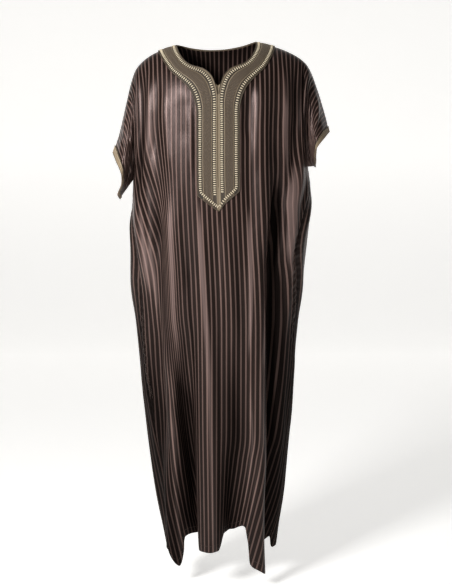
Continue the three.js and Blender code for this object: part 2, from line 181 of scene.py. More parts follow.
OVERARM = {
    Side.LEFT: Profile(("u", "x", "z"), (
        (0, 0, 0), (103, -104, -5), (168, -165, -26), (220, -205, -58),
        (255, -220, -90), (320, -236, -153), (401, -255, -232), (447, -271, -280))),
    Side.RIGHT: Profile(("u", "x", "z"), (
        (0, 0, 0), (103, 102, 3), (168, 165, -12), (220, 213, -34),
        (255, 239, -58), (320, 262, -112), (401, 286, -188), (447, 295, -226))),
}
CUFF_EDGE = {
    Side.LEFT: Profile(("q", "x", "y", "z"), (
        (0, -271, 0, -280), (0.2, -260, 40, -302), (0.45, -247, 62, -330),
        (0.7, -245, 52, -362), (0.88, -258, 26, -390), (1, -256, 0, -402))),
    Side.RIGHT: Profile(("q", "x", "y", "z"), (
        (0, 295, 0, -226), (0.2, 279, 40, -243), (0.45, 261, 58, -266),
        (0.7, 258, 46, -288), (0.88, 260, 27, -306), (1, 261, 0, -316))),
}
SECTIONS = Profile(("z", "left", "right", "front", "back"), (
    (0, 208, 222, 116, 100), (-160, 213, 238, 122, 106), (-290, 217, 238, 127, 112),
    (-390, 221, 249, 129, 116), (-510, 227, 240, 129, 119), (-620, 226, 228, 128, 121),
    (-760, 212, 214, 127, 123), (-910, 199, 204, 125, 125), (-1060, 183, 190, 123, 126),
    (-1200, 164, 178, 121, 127), (-1320, 140, 164, 119, 126), (-1450, 118, 148, 117, 124)))
FOLD_FADE = 120.0
FRONT_FOLDS = folds(
    (-300, -560, 168, 146, -12, -36, 17), (-640, -1380, -74, -80, 0, -86, 22),
    (-960, -1380, 50, 48, 0, -80, 31), (-380, -1380, -120, -122, 4, 12, 20),
    (-450, -1380, -36, -14, 2, 12, 17), (-480, -1380, 84, 104, 3, 15, 20),
    (-150, -700, -148, -150, -3, -14, 18), (-110, -520, 88, 84, -5, -6, 15),
    (-110, -560, 128, 120, 4, 10, 20),
)
BACK_FOLDS = folds(
    (-260, -1380, -120, -96, -4, -42, 22), (-300, -1380, -66, -48, 3, 14, 20),
    (-420, -1380, -12, 4, -2, -46, 23), (-300, -1380, 62, 58, 3, 14, 20),
    (-240, -1380, 122, 108, -4, -40, 22),
)
FRONT_HEM = Profile(("u", "z"), (
    (-288, -1334), (-272, -1370), (-252, -1384), (-236, -1380), (-222, -1340), (-160, -1335),
    (-110, -1324), (0, -1322), (64, -1321), (96, -1306), (130, -1302), (146, -1334), (160, -1364),
    (192, -1378), (222, -1392), (244, -1388), (266, -1366), (288, -1346)))
BACK_HEM = Profile(("u", "z"), (
    (-288, -1334), (-240, -1330), (-150, -1326), (0, -1326), (150, -1328), (240, -1336), (288, -1346)))
FRONT_NECK = Profile(("u", "w"), ((0, 200), (12, 163), (36, 138), (65, 128), (91, 98), (100, 63), (103, 0)))
BACK_NECK = Profile(("u", "w"), ((0, 58), (40, 55), (72, 43), (92, 24), (103, 0)))
FRONT_BAND = Profile(("row", "in_u", "in_w", "out_u", "out_w"), (
    (0, 103, 0, 153, 0), (1, 100, 62, 151, 46), (2, 91, 97, 142, 88), (3, 79, 117, 124, 130),
    (4, 65, 128, 104, 154), (5, 48, 134, 86, 172), (6, 34, 139, 71, 189), (7, 20, 151, 61, 208),
    (8, 11, 165, 56, 226), (9, 1, 200, 54, 246), (10, 1, 262, 54, 290), (11, 1, 330, 54, 345),
    (12, 1, 395, 54, 400), (13, 1, 455, 54, 438), (14, 1, 498, 53, 455)))
BACK_BAND = Profile(("row", "in_u", "in_w", "out_u", "out_w"), (
    (0, 103, 0, 153, 0), (1, 98, 14, 148, 26), (2, 88, 29, 134, 53), (3, 72, 43, 112, 80),
    (4, 50, 52, 78, 100), (5, 24, 57, 38, 108), (6, 0, 58, 0, 110)))


@dataclass(frozen=True)
class Crease:
    """A soft trough or ridge in the cloth, placed one by one.

    A negative depth is a trough. bow is how far its middle strays sideways from the straight line.
    """

    u0: float
    w0: float
    u1: float
    w1: float
    depth: float
    width: float
    bow: float = 0.0

    def height(self, u: Array, w: Array) -> Array:
        """Return how far the crease lifts the cloth at each place."""
        along_u = self.u1 - self.u0
        along_w = self.w1 - self.w0
        length = math.hypot(along_u, along_w)
        t = ((u - self.u0) * along_u + (w - self.w0) * along_w) / length**2
        aside = ((u - self.u0) * along_w - (w - self.w0) * along_u) / length
        aside = aside - self.bow * 4.0 * t * (1.0 - t)
        ends = smooth(t / 0.3) * smooth((1.0 - t) / 0.3)
        return self.depth * ends * bell(aside, self.width)


def creases(*rows: tuple[float, ...]) -> tuple[Crease, ...]:
    """Return creases from rows of u0, w0, u1, w1, depth, width and bow."""
    return tuple(Crease(*row) for row in rows)


FRONT_CREASES = creases(
    (-262, 20, -258, 330, -9, 12, 0), (-236, 40, -240, 300, 4, 10, 0), (254, 20, 262, 320, -11, 15, 0),
    (150, 260, 176, 640, -7, 16, 6), (-205, 60, -232, 420, -7, 13, 8), (-184, 90, -205, 380, 5, 13, 6),
    (-160, 120, -176, 360, -3.5, 11, 4), (-140, 165, -112, 420, 4, 13, -6),
    (-96, 180, -84, 330, -1.8, 12, 3), (-75, 210, -66, 420, 3, 9, 0), (-200, 330, -168, 640, -5, 12, 10),
    (-250, 360, -190, 700, 5, 16, -12), (-262, 470, -205, 800, -5, 13, -10),
    (-236, 640, -222, 930, 4, 12, 6), (-182, 560, -160, 1010, 4.5, 13, -5),
    (-90, 420, -96, 760, -4, 12, 4), (-52, 520, -40, 980, 3.5, 11, -4),
    (-20, 560, -16, 1200, -2.5, 10, 3), (14, 520, 24, 900, 2.5, 10, 0), (46, 520, 40, 1300, -3, 11, -3),
    (70, 440, 66, 900, 4, 11, 2), (86, 170, 70, 330, -4.5, 11, -4), (112, 150, 98, 420, 4.5, 12, -5),
    (140, 130, 128, 520, -4.5, 12, 6), (172, 80, 168, 430, 6, 14, 6), (214, 70, 196, 420, -7, 13, 8),
    (238, 130, 214, 520, 6, 14, 8), (262, 330, 226, 700, -5.5, 12, 8), (236, 420, 196, 820, 5, 13, 10),
    (206, 520, 176, 800, -4, 11, 6), (150, 640, 152, 1240, -4.5, 13, -4), (118, 700, 128, 1330, 4, 12, 4),
    (188, 760, 196, 1300, 4, 14, -4), (-212, 900, -200, 1330, -5, 14, 5),
    (-172, 980, -168, 1360, 5, 13, 3), (-130, 860, -132, 1340, -4, 12, -3),
    (-246, 960, -240, 1340, 4, 13, 4), (226, 860, 236, 1340, -4, 13, 4),
)
BACK_CREASES = creases(
    (-210, 50, -236, 430, -7, 14, 8), (-178, 90, -196, 400, 5.5, 14, 6),
    (-138, 120, -120, 460, -4, 13, -5), (-92, 150, -70, 520, 4, 13, -4),
    (-34, 150, -22, 480, -3.5, 12, 4), (20, 140, 12, 520, 3.5, 12, -4), (62, 150, 54, 560, -4, 13, 5),
    (104, 130, 92, 470, 4.5, 13, -6), (150, 110, 142, 460, -5, 13, 6), (186, 80, 190, 420, 5.5, 14, 6),
    (220, 60, 232, 440, -7, 14, 6), (-240, 380, -196, 760, 5, 15, -9), (-262, 520, -214, 930, -5, 13, -8),
    (-160, 480, -150, 960, -4.5, 13, 5), (-104, 560, -92, 1180, 4.5, 14, -4),
    (-44, 600, -38, 1300, -3.5, 12, 4), (-4, 520, 4, 900, 3, 12, 0), (40, 640, 46, 1340, 4, 13, 4),
    (96, 520, 88, 1080, -4.5, 13, -4), (146, 560, 140, 1200, 4.5, 14, 4),
    (244, 370, 200, 780, 5.5, 15, 9), (264, 500, 220, 900, -5, 13, 8),
    (186, 780, 194, 1330, -4.5, 14, -4), (-190, 860, -186, 1340, 4.5, 14, 4),
    (-232, 940, -236, 1350, -4, 14, -4), (236, 930, 240, 1350, 4, 14, 4),
)
# Streaks of painted highlight and painted shade; in these rows the depth is how much lighter or darker they
# make the cloth
FRONT_PAINTED_STREAKS = creases(
    (-126, 400, -134, 980, 0.85, 7, 0), (-140, 820, -242, 1480, 1.1, 8, 6),
    (-136, 860, -172, 1490, -0.75, 22, -8), (-112, 940, -130, 1490, -0.75, 24, 0),
    (-52, 420, -42, 900, 0.75, 6, -3), (-44, 700, -26, 1560, 1.05, 8, 0),
    (-22, 700, -4, 1480, -0.35, 9, 0), (16, 840, 30, 1500, -0.6, 20, 0), (78, 460, 58, 1000, 0.85, 6, 4),
    (62, 900, 96, 1500, 0.95, 6, 0), (124, 560, 94, 1020, 0.8, 6, 4), (94, 880, 112, 1480, 0.8, 7, 0),
    (102, 560, 110, 800, -0.4, 8, 0), (172, 380, 182, 780, -0.75, 19, 0),
    (180, 600, 196, 1100, -0.9, 24, 0), (186, 900, 262, 1490, -0.9, 36, 0),
    (206, 260, 218, 640, 0.75, 8, 0), (174, 170, 214, 500, 0.75, 8, -5),
    (192, 230, 200, 420, -0.35, 8, 0), (226, 380, 232, 700, 0.6, 7, 0),
    (-262, 900, -268, 1490, -0.85, 30, 0), (-250, 1060, -250, 1490, -0.4, 26, 0),
    (-166, 560, -150, 1000, -0.45, 12, 0), (-205, 480, -192, 800, 0.6, 7, 6),
    (-228, 380, -206, 760, 0.55, 7, 4), (-184, 150, -150, 560, 0.5, 9, -6),
    (-160, 260, -172, 600, -0.4, 8, 0), (-215, 200, -236, 430, -0.45, 9, 0),
    (146, 120, 160, 420, -0.35, 11, 0), (236, 40, 250, 360, -0.8, 16, 0),
    (276, 900, 276, 1490, -0.8, 30, 0), (-100, 560, -86, 980, -0.4, 9, 4),
    (-72, 420, -66, 700, -0.3, 8, 0), (36, 470, 40, 900, -0.3, 8, 0), (0, 470, -6, 820, 0.3, 8, 0),
    (-190, 880, -222, 1180, 0.45, 7, 4),
)
PAINTED_LIGHT_LEAST = 0.2
PAINTED_LIGHT_MOST = 1.55
# These are read with u counted outwards on either side
SLEEVE_CREASES = creases(
    (306, 10, 312, 270, -6, 11, 0), (292, 30, 372, 190, -4, 12, 6), (300, 90, 398, 170, 3.5, 11, -5),
    (296, 170, 360, 240, -4.5, 12, 4), (330, 20, 420, 110, 3.5, 12, 5), (306, 230, 392, 236, 4, 10, 3),
    (392, 40, 438, 150, -3, 10, -4),
)


def sided(tables: dict[Side, Profile], column: str, key: Array, u: Array) -> Array:
    """Return a column of the left table where u is below 0, and of the right one elsewhere."""
    return np.where(u < 0, tables[Side.LEFT].at(column, key), tables[Side.RIGHT].at(column, key))


@dataclass(frozen=True)
class Pocket:
    """An in-seam pocket mouth: its side, its ends down the seam, and how far the front lip stands off."""

    side: Side
    top: float
    bottom: float
    lip: float

    def gape(self, w: Array) -> Array:
        """Return how open the mouth is at each depth, from 0 to 1."""
        span = self.bottom - self.top
        return smooth((w - self.top) / (0.2 * span)) * smooth((self.bottom - w) / (0.2 * span))


# The neck band's outer edge: depths, and how far out the edge lies at each of them
FRONT_BAND_EDGE = (
    (0, 46, 88, 130, 154, 172, 189, 208, 226, 246, 455, 498, 520),
    (153, 151, 142, 124, 104, 86, 71, 61, 56, 54, 53, 1, -25))
BACK_BAND_EDGE = (
    (0, 26, 53, 80, 100, 108, 111, 130),
    (153, 148, 134, 112, 78, 38, 0, -25))
POCKETS = (Pocket(Side.LEFT, 735, 930, 5.0), Pocket(Side.RIGHT, 580, 765, 5.0))


@dataclass
class ClothForm:
    """Where each place of the cloth lies on the worn garment, and which way it faces there."""

    cut: Cut = field(default_factory=Cut)
    ring_power: float = 2.1
    ring_steps: int = 360
    level_top: float = -90.0
    level_end: float = -1450.0
    level_step: float = 2.0
    arc_reach: float = 680.0
    arc_step: float = 1.5
    armhole_half: float = 46.0
    armhole_tuck: float = 8.0
    armhole_from: float = 215.0
    hem_rise: float = 42.0
    hem_rise_from: float = 8.0
    hem_rise_span: float = 26.0
    pucker_depth: float = 1.1
    pucker_wave: float = 17.0
    pucker_reach: float = 13.0
    pucker_stray: tuple[tuple[float, float], ...] = ((9.0, 61.0), (5.0, 23.0))
    pucker_strength: tuple[float, float] = (0.8, 0.6)
    pucker_slower: float = 0.47
    pucker_aside: float = 1.7
    pucker_least: float = 0.3
    pucker_more: float = 0.9
    pucker_middle: tuple[float, float] = (835.0, 690.0)
    pucker_span: float = 130.0
    fold_side_calm: float = 45.0
    shift_from: float = 300.0
    shift_span: float = 450.0
    outward_step: float = 3.0
    lean_from: float = 180.0
    lean_span: float = 60.0
    lean_most: float = 1.8
    top_share: float = 0.75
    top_reach: float = 25.0
    seam_reach: float = 14.0
    calm_least: float = 0.12
    calm_reach: float = 16.0
    ripple_waves: tuple[float, float] = (17.0, 29.0)
    ripple_bends: tuple[float, float] = (170.0, 410.0)
    ripple_bend: float = 1.3
    ripple_second: float = 0.7
    ripple_aside: float = 2.0
    ripple_least: float = 0.35
    ripple_more: float = 0.55
    ripple_from: float = 350.0
    ripple_span: float = 900.0
    below_span: float = 60.0
    seam_least: float = 0.12
    seam_fade: float = 26.0
    armhole_pucker: float = 0.45
    seam_groove: float = 0.9
    seam_groove_reach: float = 2.4
    lip_reach: float = 13.0
    lip_back_share: float = 0.5
    lip_back_reach: float = 9.0
    hem_fade: float = 40.0
    hem_share: float = 0.5
    shoulder_fade: float = 30.0
    shoulder_least: float = 0.1
    # Painted light and shade: lighter on ridges and folds, darker in troughs, toward the hem, at the lower
    # sides and on the back
    painted_crease_light: float = 0.055
    painted_fold_light: float = 0.006
    painted_fold_level: float = 0.97
    painted_light_top: float = 0.86
    painted_light_hem: float = 0.56
    painted_light_from: float = 420.0
    painted_light_span: float = 850.0
    painted_back_shade: float = 0.75
    painted_rim_shade: float = 0.72
    rim_from: float = 520.0
    rim_span: float = 420.0
    rim_reach: float = 42.0
    slide_from: float = 240.0
    slide_span: float = 420.0
    slide_back: float = 0.6
    slide_back_from: float = 720.0
    slide_back_span: float = 520.0
    slide_front: tuple[tuple[float, float, float], ...] = ((78.0, 105.0, 70.0), (45.0, 90.0, 140.0))
    slide_rear: tuple[tuple[float, float, float], ...] = ((60.0, 80.0, 120.0), (-60.0, 80.0, 120.0))

    def __post_init__(self) -> None:
        """Work out the plan sections once, by level and by arc."""
        self.levels = np.arange(self.level_top, self.level_end - 1.0, -self.level_step)
        self.arcs = np.arange(-self.arc_reach, self.arc_reach + 1.0, self.arc_step)
        turn = np.linspace(-math.pi, math.pi, self.ring_steps + 1)
        angle, level = np.meshgrid(turn, self.levels)
        ahead = np.abs(angle) < math.pi / 2
        wide = np.where(angle < 0, SECTIONS.at("left", level), SECTIONS.at("right", level))
        deep = np.where(ahead, SECTIONS.at("front", level), SECTIONS.at("back", level))
        cosine = np.abs(np.cos(angle)) ** (2 / self.ring_power)
        sine = np.abs(np.sin(angle)) ** (2 / self.ring_power)
        x = wide * sine * np.sign(angle)
        y = deep * cosine * np.where(ahead, -1.0, 1.0)
        nx = x / wide**2
        ny = y / deep**2
        size = np.hypot(nx, ny)
        front_out = self.fold_out(FRONT_FOLDS, x, level)
        back_out = self.fold_out(BACK_FOLDS, x, level)
        out = np.where(ahead, front_out, back_out) * smooth(np.abs(y) / self.fold_side_calm)
        x = x + out * nx / size
        y = y + out * ny / size
        steps = np.hypot(np.diff(x, axis=1), np.diff(y, axis=1))
        arc = np.concatenate([np.zeros((len(self.levels), 1)), np.cumsum(steps, axis=1)], axis=1)
        arc -= arc[:, self.ring_steps // 2][:, None]
        self.left_end = arc[:, 0]
        self.right_end = arc[:, -1]
        self.plan = np.stack([
            np.stack([np.interp(self.arcs, arc[k], part[k]) for k in range(len(self.levels))])
            for part in (x, y, out)])

    @staticmethod
    def fold_out(folds: Sequence[Fold], x: Array, z: Array) -> Array:
        """Return how far the long folds push the cloth out at x and height z."""
        out = np.zeros_like(x)
        for fold in folds:
            t = clamp01((fold.top - z) / (fold.top - fold.end))
            place = mix(fold.x0, fold.x1, t)
            height = mix(fold.out0, fold.out1, t) * smooth((fold.top - z) / FOLD_FADE)
            out += height * bell(x - place, fold.wide)
        return out

    def overarm(self, u: Array) -> tuple[Array, Array]:
        """Return x and z of the shoulder and overarm line at each u."""
        reach = np.abs(u)
        return sided(OVERARM, "x", reach, u), sided(OVERARM, "z", reach, u)

    def body_half(self, w: Array) -> Array:
        """Return half the width that the front and the back are cut to at depth w."""
        cut = self.cut
        narrowed = smooth((w - cut.underarm_depth) / (cut.waist_depth - cut.underarm_depth))
        widened = smooth((w - cut.waist_depth) / (cut.length - cut.waist_depth))
        return mix(mix(cut.body_half, cut.waist_half, narrowed), cut.hem_half, widened)

    def body_at(self, facing: Facing, u: Array, z: Array, half: Array) -> tuple[Array, Array, Array]:
        """Return x, y and the folds' stand-off of the body's plan section at height z."""
        row = np.clip((self.level_top - z) / self.level_step, 0, len(self.levels) - 1.001)
        lower = smooth((-z - self.shift_from) / self.shift_span)
        shift = mix(self.cut.middle_shift, self.cut.lower_shift, lower)
        if facing is Facing.FRONT:
            arc = u + shift
        else:
            at = np.arange(len(self.levels))
            end = np.where(u < 0, np.interp(row, at, self.left_end), np.interp(row, at, self.right_end))
            rest = np.abs(end - shift) - half
            arc = end - np.sign(end) * rest * np.abs(u) / half
        col = np.clip((arc + self.arc_reach) / self.arc_step, 0, len(self.arcs) - 1.001)
        i = row.astype(int)
        j = col.astype(int)
        s = row - i
        t = col - j
        plan = self.plan
        upper = mix(plan[:, i, j], plan[:, i, j + 1], t)
        lower = mix(plan[:, i + 1, j], plan[:, i + 1, j + 1], t)
        x, y, out = mix(upper, lower, s)
        return x, y, out

    def hanging(self, facing: Facing, u: Array, w: Array) -> Array:
        """Return the panel's points: a quarter round over the shoulder, then down to the hem."""
        cut = self.cut
        half = self.body_half(w)
        across = np.clip(u, -half, half)
        top_x, top_z = self.overarm(across)
        turned = top_z - cut.shoulder_drop
        angle = clamp01(w / cut.shoulder_arc) * math.pi / 2
        x, y, _ = self.body_at(facing, across, turned, half)
        over = np.stack([
            mix(top_x, x, np.sin(angle)),
            y * np.sin(angle),
            top_z - cut.shoulder_drop * (1 - np.cos(angle))], axis=-1)
        hem_line = FRONT_HEM if facing is Facing.FRONT else BACK_HEM
        hem = hem_line.at("z", across / half * cut.body_half)
        _, _, out = self.body_at(facing, across, hem, half)
        hem = hem + self.hem_rise * smooth((-out - self.hem_rise_from) / self.hem_rise_span)
        z = mix(turned, hem, (w - cut.shoulder_arc) / (cut.length - cut.shoulder_arc))
        x, y, _ = self.body_at(facing, across, z, half)
        down = np.stack([x, y, z], axis=-1)
        return np.where((w < cut.shoulder_arc)[..., None], over, down)

    def panel(self, facing: Facing, u: Array, w: Array) -> Array:
        """Return the panel's points, with its front and back apart at the armholes."""
        points = self.hanging(facing, u, w)
        near = smooth((np.abs(u) - self.armhole_from) / (self.cut.body_half - self.armhole_from))
        gape = near * np.sin(math.pi * clamp01(w / self.cut.underarm_depth))
        points[..., 0] -= np.sign(u) * self.armhole_tuck * gape
        points[..., 1] += facing.value * self.armhole_half * gape
        return points

    def sleeve(self, facing: Facing, u: Array, q: Array) -> Array:
        """Return the sleeve's points, from the armhole to the cuff, at share q from overarm to underarm."""
        cut = self.cut
        side = np.where(u < 0, -1.0, 1.0)
        share = clamp01((np.abs(u) - cut.body_half) / (cut.sleeve_half - cut.body_half))
        inner = self.panel(facing, side * cut.body_half, q * cut.underarm_depth)
        x, y, z = (sided(CUFF_EDGE, column, q, u) for column in ("x", "y", "z"))
        cuff = np.stack([x, y * facing.value, z], axis=-1)
        points = mix(inner, cuff, share[..., None])
        rounded = mix(share, smooth(share), np.sin(q * math.pi))
        points[..., 1] = mix(inner[..., 1], cuff[..., 1], rounded)
        line_x, line_z = self.overarm(u)
        first_x, first_z = self.overarm(side * cut.body_half)
        cuff_x, cuff_z = self.overarm(side * cut.sleeve_half)
        points[..., 0] += (line_x - mix(first_x, cuff_x, share)) * (1 - q) ** 2
        points[..., 2] += (line_z - mix(first_z, cuff_z, share)) * (1 - q) ** 2
        return points

    def plain(self, facing: Facing, u: Array, w: Array) -> Array:
        """Return the cloth's points without its small creases."""
        cut = self.cut
        on_body = (np.abs(u) <= cut.body_half) | (w >= cut.underarm_depth)
        share = clamp01((np.abs(u) - cut.body_half) / (cut.sleeve_half - cut.body_half))
        depth = mix(cut.underarm_depth, cut.cuff_depth, share)
        body = self.panel(facing, u, w)
        if np.all(on_body):
            return body
        return np.where(on_body[..., None], body, self.sleeve(facing, u, clamp01(w / depth)))

    def outward(self, facing: Facing, u: Array, w: Array) -> Array:
        """Return the outward direction of the cloth at each place."""
        step = self.outward_step
        cut = self.cut
        half = np.where(w < cut.underarm_depth, cut.sleeve_half, self.body_half(w))
        across = self.plain(facing, np.minimum(half, u + step), w)
        across = across - self.plain(facing, np.maximum(-half, u - step), w)
        down = self.plain(facing, u, w + step) - self.plain(facing, u, np.maximum(0.0, w - step))
        out = unit(np.cross(down, across) * -facing.value)
        lean = np.sign(u) * clamp01((np.abs(u) - self.lean_from) / self.lean_span) * self.lean_most
        up = unit(np.stack([lean, np.zeros_like(lean), np.ones_like(lean)], axis=-1))
        near = (self.top_share * clamp01(1.0 - w / self.top_reach))[..., None]
        return unit(mix(out, up, near))

    def calm(self, facing: Facing, u: Array, w: Array) -> Array:
        """Return 1 on free cloth and little under the neck band, which keeps the cloth flat."""
        depths, reaches = FRONT_BAND_EDGE if facing is Facing.FRONT else BACK_BAND_EDGE
        edge = np.interp(w, depths, reaches)
        return mix(self.calm_least, 1.0, smooth((np.abs(u) - edge) / self.calm_reach))

    def pucker(self, u: Array, w: Array, edge: Array) -> Array:
        """Return the small gathers along the side seams and armholes."""
        beat = 2 * math.pi / self.pucker_wave
        (slow, slow_wave), (quick, quick_wave) = self.pucker_stray
        side = np.sign(u)
        wander = beat * (w + slow * np.sin(w / slow_wave + side) + quick * np.sin(w / quick_wave))
        first, second = self.pucker_strength
        wave = first * np.sin(wander)
        wave = wave + second * np.sin(self.pucker_slower * wander + self.pucker_aside * side)
        middle = np.where(u < 0, *self.pucker_middle)
        strong = self.pucker_least + self.pucker_more * bell(w - middle, self.pucker_span)
        return self.pucker_depth * strong * wave * bell(edge, self.pucker_reach)

    @staticmethod
    def hand_placed(facing: Facing, u: Array, w: Array) -> Array:
        """Return how far the tables' creases alone lift the cloth."""
        table = FRONT_CREASES if facing is Facing.FRONT else BACK_CREASES
        lift = sum(crease.height(u, w) for crease in table)
        return lift + sum(crease.height(np.abs(u), w) for crease in SLEEVE_CREASES)

    def ripple(self, facing: Facing, u: Array, w: Array) -> Array:
        """Return the slow waves that cover all of the cloth, stronger low down."""
        first, second = self.ripple_waves
        bend, slant = self.ripple_bends
        wave = np.sin(u / first + self.ripple_bend * np.sin(w / bend) + facing.value)
        wave = wave + self.ripple_second * np.sin(u / second - w / slant + self.ripple_aside)
        low = smooth((w - self.ripple_from) / self.ripple_span)
        return wave * (self.ripple_least + self.ripple_more * low)

    def creased(self, facing: Facing, u: Array, w: Array) -> Array:
        """Return how far the creases lift the cloth off its plain form."""
        cut = self.cut
        lift = self.hand_placed(facing, u, w) + self.ripple(facing, u, w)
        edge = self.body_half(w) - np.abs(u)
        below = smooth((w - cut.underarm_depth + 0.5 * self.below_span) / self.below_span)
        inside = mix(np.abs(edge), np.maximum(edge, 0.0), below)
        lift = lift * smooth(self.seam_least + inside / self.seam_fade)
        lift = lift + self.pucker(u, w, np.abs(edge)) * mix(self.armhole_pucker, 1.0, below)
        lift = lift - self.seam_groove * bell(np.abs(edge), self.seam_groove_reach)
        for pocket in POCKETS:
            open_here = pocket.gape(w) * (np.sign(u) == pocket.side.value) * below
            if facing is Facing.FRONT:
                lift = lift + pocket.lip * open_here * bell(edge, self.lip_reach)
            else:
                lift = lift - self.lip_back_share * pocket.lip * open_here * bell(edge, self.lip_back_reach)
        hem = mix(self.hem_share, 1.0, smooth((cut.length - w) / self.hem_fade))
        shoulder = smooth(w / self.shoulder_fade + self.shoulder_least)
        return lift * hem * self.calm(facing, u, w) * shoulder

    def painted_light(self, facing: Facing, u: Array, w: Array) -> Array:
        """Return the painted light and shade: painted shade in the troughs, toward the hem, at the lower
        sides and on the back, and painted highlight on the ridges and the listed streaks.
        """
        half = self.body_half(w)
        _, _, out = self.body_at(facing, np.clip(u, -half, half), -w * self.painted_fold_level, half)
        # Painted highlight on the ridges and painted shade in the troughs
        stand = self.painted_crease_light * self.hand_placed(facing, u, w)
        stand = stand + self.painted_fold_light * out * (w > self.cut.shoulder_arc)
        streaks = sum(painted_shading.height(u, w) for painted_shading in FRONT_PAINTED_STREAKS) if facing is Facing.FRONT else 0.0
        # Painted shade toward the hem, at the lower sides and on the back
        low = mix(self.painted_light_top, self.painted_light_hem, smooth((w - self.painted_light_from) / self.painted_light_span))
        lower = smooth((w - self.rim_from) / self.rim_span)
        rim = 1.0 - self.painted_rim_shade * lower * bell(half - np.abs(u), self.rim_reach)
        if facing is Facing.BACK:
            low = low * self.painted_back_shade
        return np.clip(low * rim * (1.0 + stand + streaks), PAINTED_LIGHT_LEAST, PAINTED_LIGHT_MOST)

    def grain(self, facing: Facing, u: Array, w: Array) -> Array:
        """Return the place on the woven cloth, which slants at the sides where the cloth has slid."""
        down = smooth((w - self.slide_from) / self.slide_span)
        down = down - self.slide_back * smooth((w - self.slide_back_from) / self.slide_back_span)
        left, right = self.slide_front if facing is Facing.FRONT else self.slide_rear
        slid = left[0] * smooth((-u - left[1]) / left[2]) + right[0] * smooth((u - right[1]) / right[2])
        return np.stack([u - slid * down, w], axis=-1)

    def place(self, facing: Facing, u: Array, w: Array, lift: Array | float = 0.0) -> Array:
        """Return points on the creased cloth.

        Args:
            facing: The front or the back.
            u: Places across, in millimetres.
            w: Places down, in millimetres.
            lift: How far off the cloth's outer face each point stands.

        Returns:
            The points, in millimetres.
        """
        u = np.asarray(u, dtype=float)
        w = np.asarray(w, dtype=float)
        points = self.plain(facing, u, w)
        out = self.outward(facing, u, w)
        half = self.body_half(w)
        below = w >= self.cut.underarm_depth
        near = np.where(below, 1.0 - smooth((half - np.abs(u)) / self.seam_reach), 0.0)
        near = np.maximum(near, 1.0 - smooth(w / self.seam_reach))
        if np.any(near > 0):
            side_u = np.where(below, np.sign(u) * half, u)
            shared = self.outward(Facing.FRONT, side_u, w) + self.outward(Facing.BACK, side_u, w)
            out = unit(mix(out, unit(shared), near[..., None]))
        height = self.creased(facing, u, w) + lift
        return points + out * height[..., None]

    def follow(self, facing: Facing, spots: Array, lift: float) -> tuple[Array, Array]:
        """Return points a lift off the cloth at each u and w, and the outward directions there."""
        u, w = spots.T
        return self.place(facing, u, w, lift), self.outward(facing, u, w)


# Meshes

TWIST_SWELL = 0.16
# A bar's places along it with its thickness there, as shares of its half length and half width
BAR_OUTLINE = ((-1.0, 0.4), (-0.82, 0.92), (0.0, 1.0), (0.82, 0.92), (1.0, 0.4))


def mesh_piece(name: str, points: Array, faces: Array, uv: Array | None = None,
               painted_light: Array | None = None) -> bpy.types.Object:
    """Make a smooth-shaded mesh object.

    Args:
        name: The piece's name.
        points: Vertices in millimetres, one row each.
        faces: Corner numbers, one row of three or four for each face.
        uv: A pair for each vertex, in metres of cloth.
        painted_light: The painted light and shade of each vertex's place in the folds, from 0 to 1.

    Returns:
        The object, linked to the scene.
    """
    mesh = bpy.data.meshes.new(name)
    corners = faces.shape[1]
    mesh.vertices.add(len(points))
    mesh.vertices.foreach_set("co", (points * MM).astype(np.float32).ravel())
    mesh.loops.add(faces.size)
    mesh.loops.foreach_set("vertex_index", faces.astype(np.int32).ravel())
    mesh.polygons.add(len(faces))
    mesh.polygons.foreach_set("loop_start", np.arange(0, faces.size, corners, dtype=np.int32))
    mesh.polygons.foreach_set("use_smooth", np.ones(len(faces), dtype=bool))
    if uv is not None:
        layer = mesh.uv_layers.new(name="cloth")
        layer.data.foreach_set("uv", (uv[faces.ravel()] * MM).astype(np.float32).ravel())
    # Painted light and shade, one value per vertex, that the finishes read
    shade = mesh.attributes.new("painted_light", "FLOAT", "POINT")
    light = np.ones(len(points)) if painted_light is None else painted_light
    shade.data.foreach_set("value", light.astype(np.float32))
    mesh.update(calc_edges=True)
    mesh.validate()
    piece = bpy.data.objects.new(name, mesh)
    bpy.context.collection.objects.link(piece)
    return piece


def quads(rows: Array, cols: Array, next_rows: Array, next_cols: Array, width: int) -> Array:
    """Return the corner numbers of the grid cells that start at rows and cols.

    Args:
        rows: The row that each cell starts at.
        cols: The column that each cell starts at.
        next_rows: The row that it ends at.
        next_cols: The column that it ends at.
        width: How many points a row has.

    Returns:
        Four corner numbers for each cell.
    """
    starts = [rows * width + cols, next_rows * width + cols]
    ends = [next_rows * width + next_cols, rows * width + next_cols]
    return np.stack(starts + ends, axis=1)


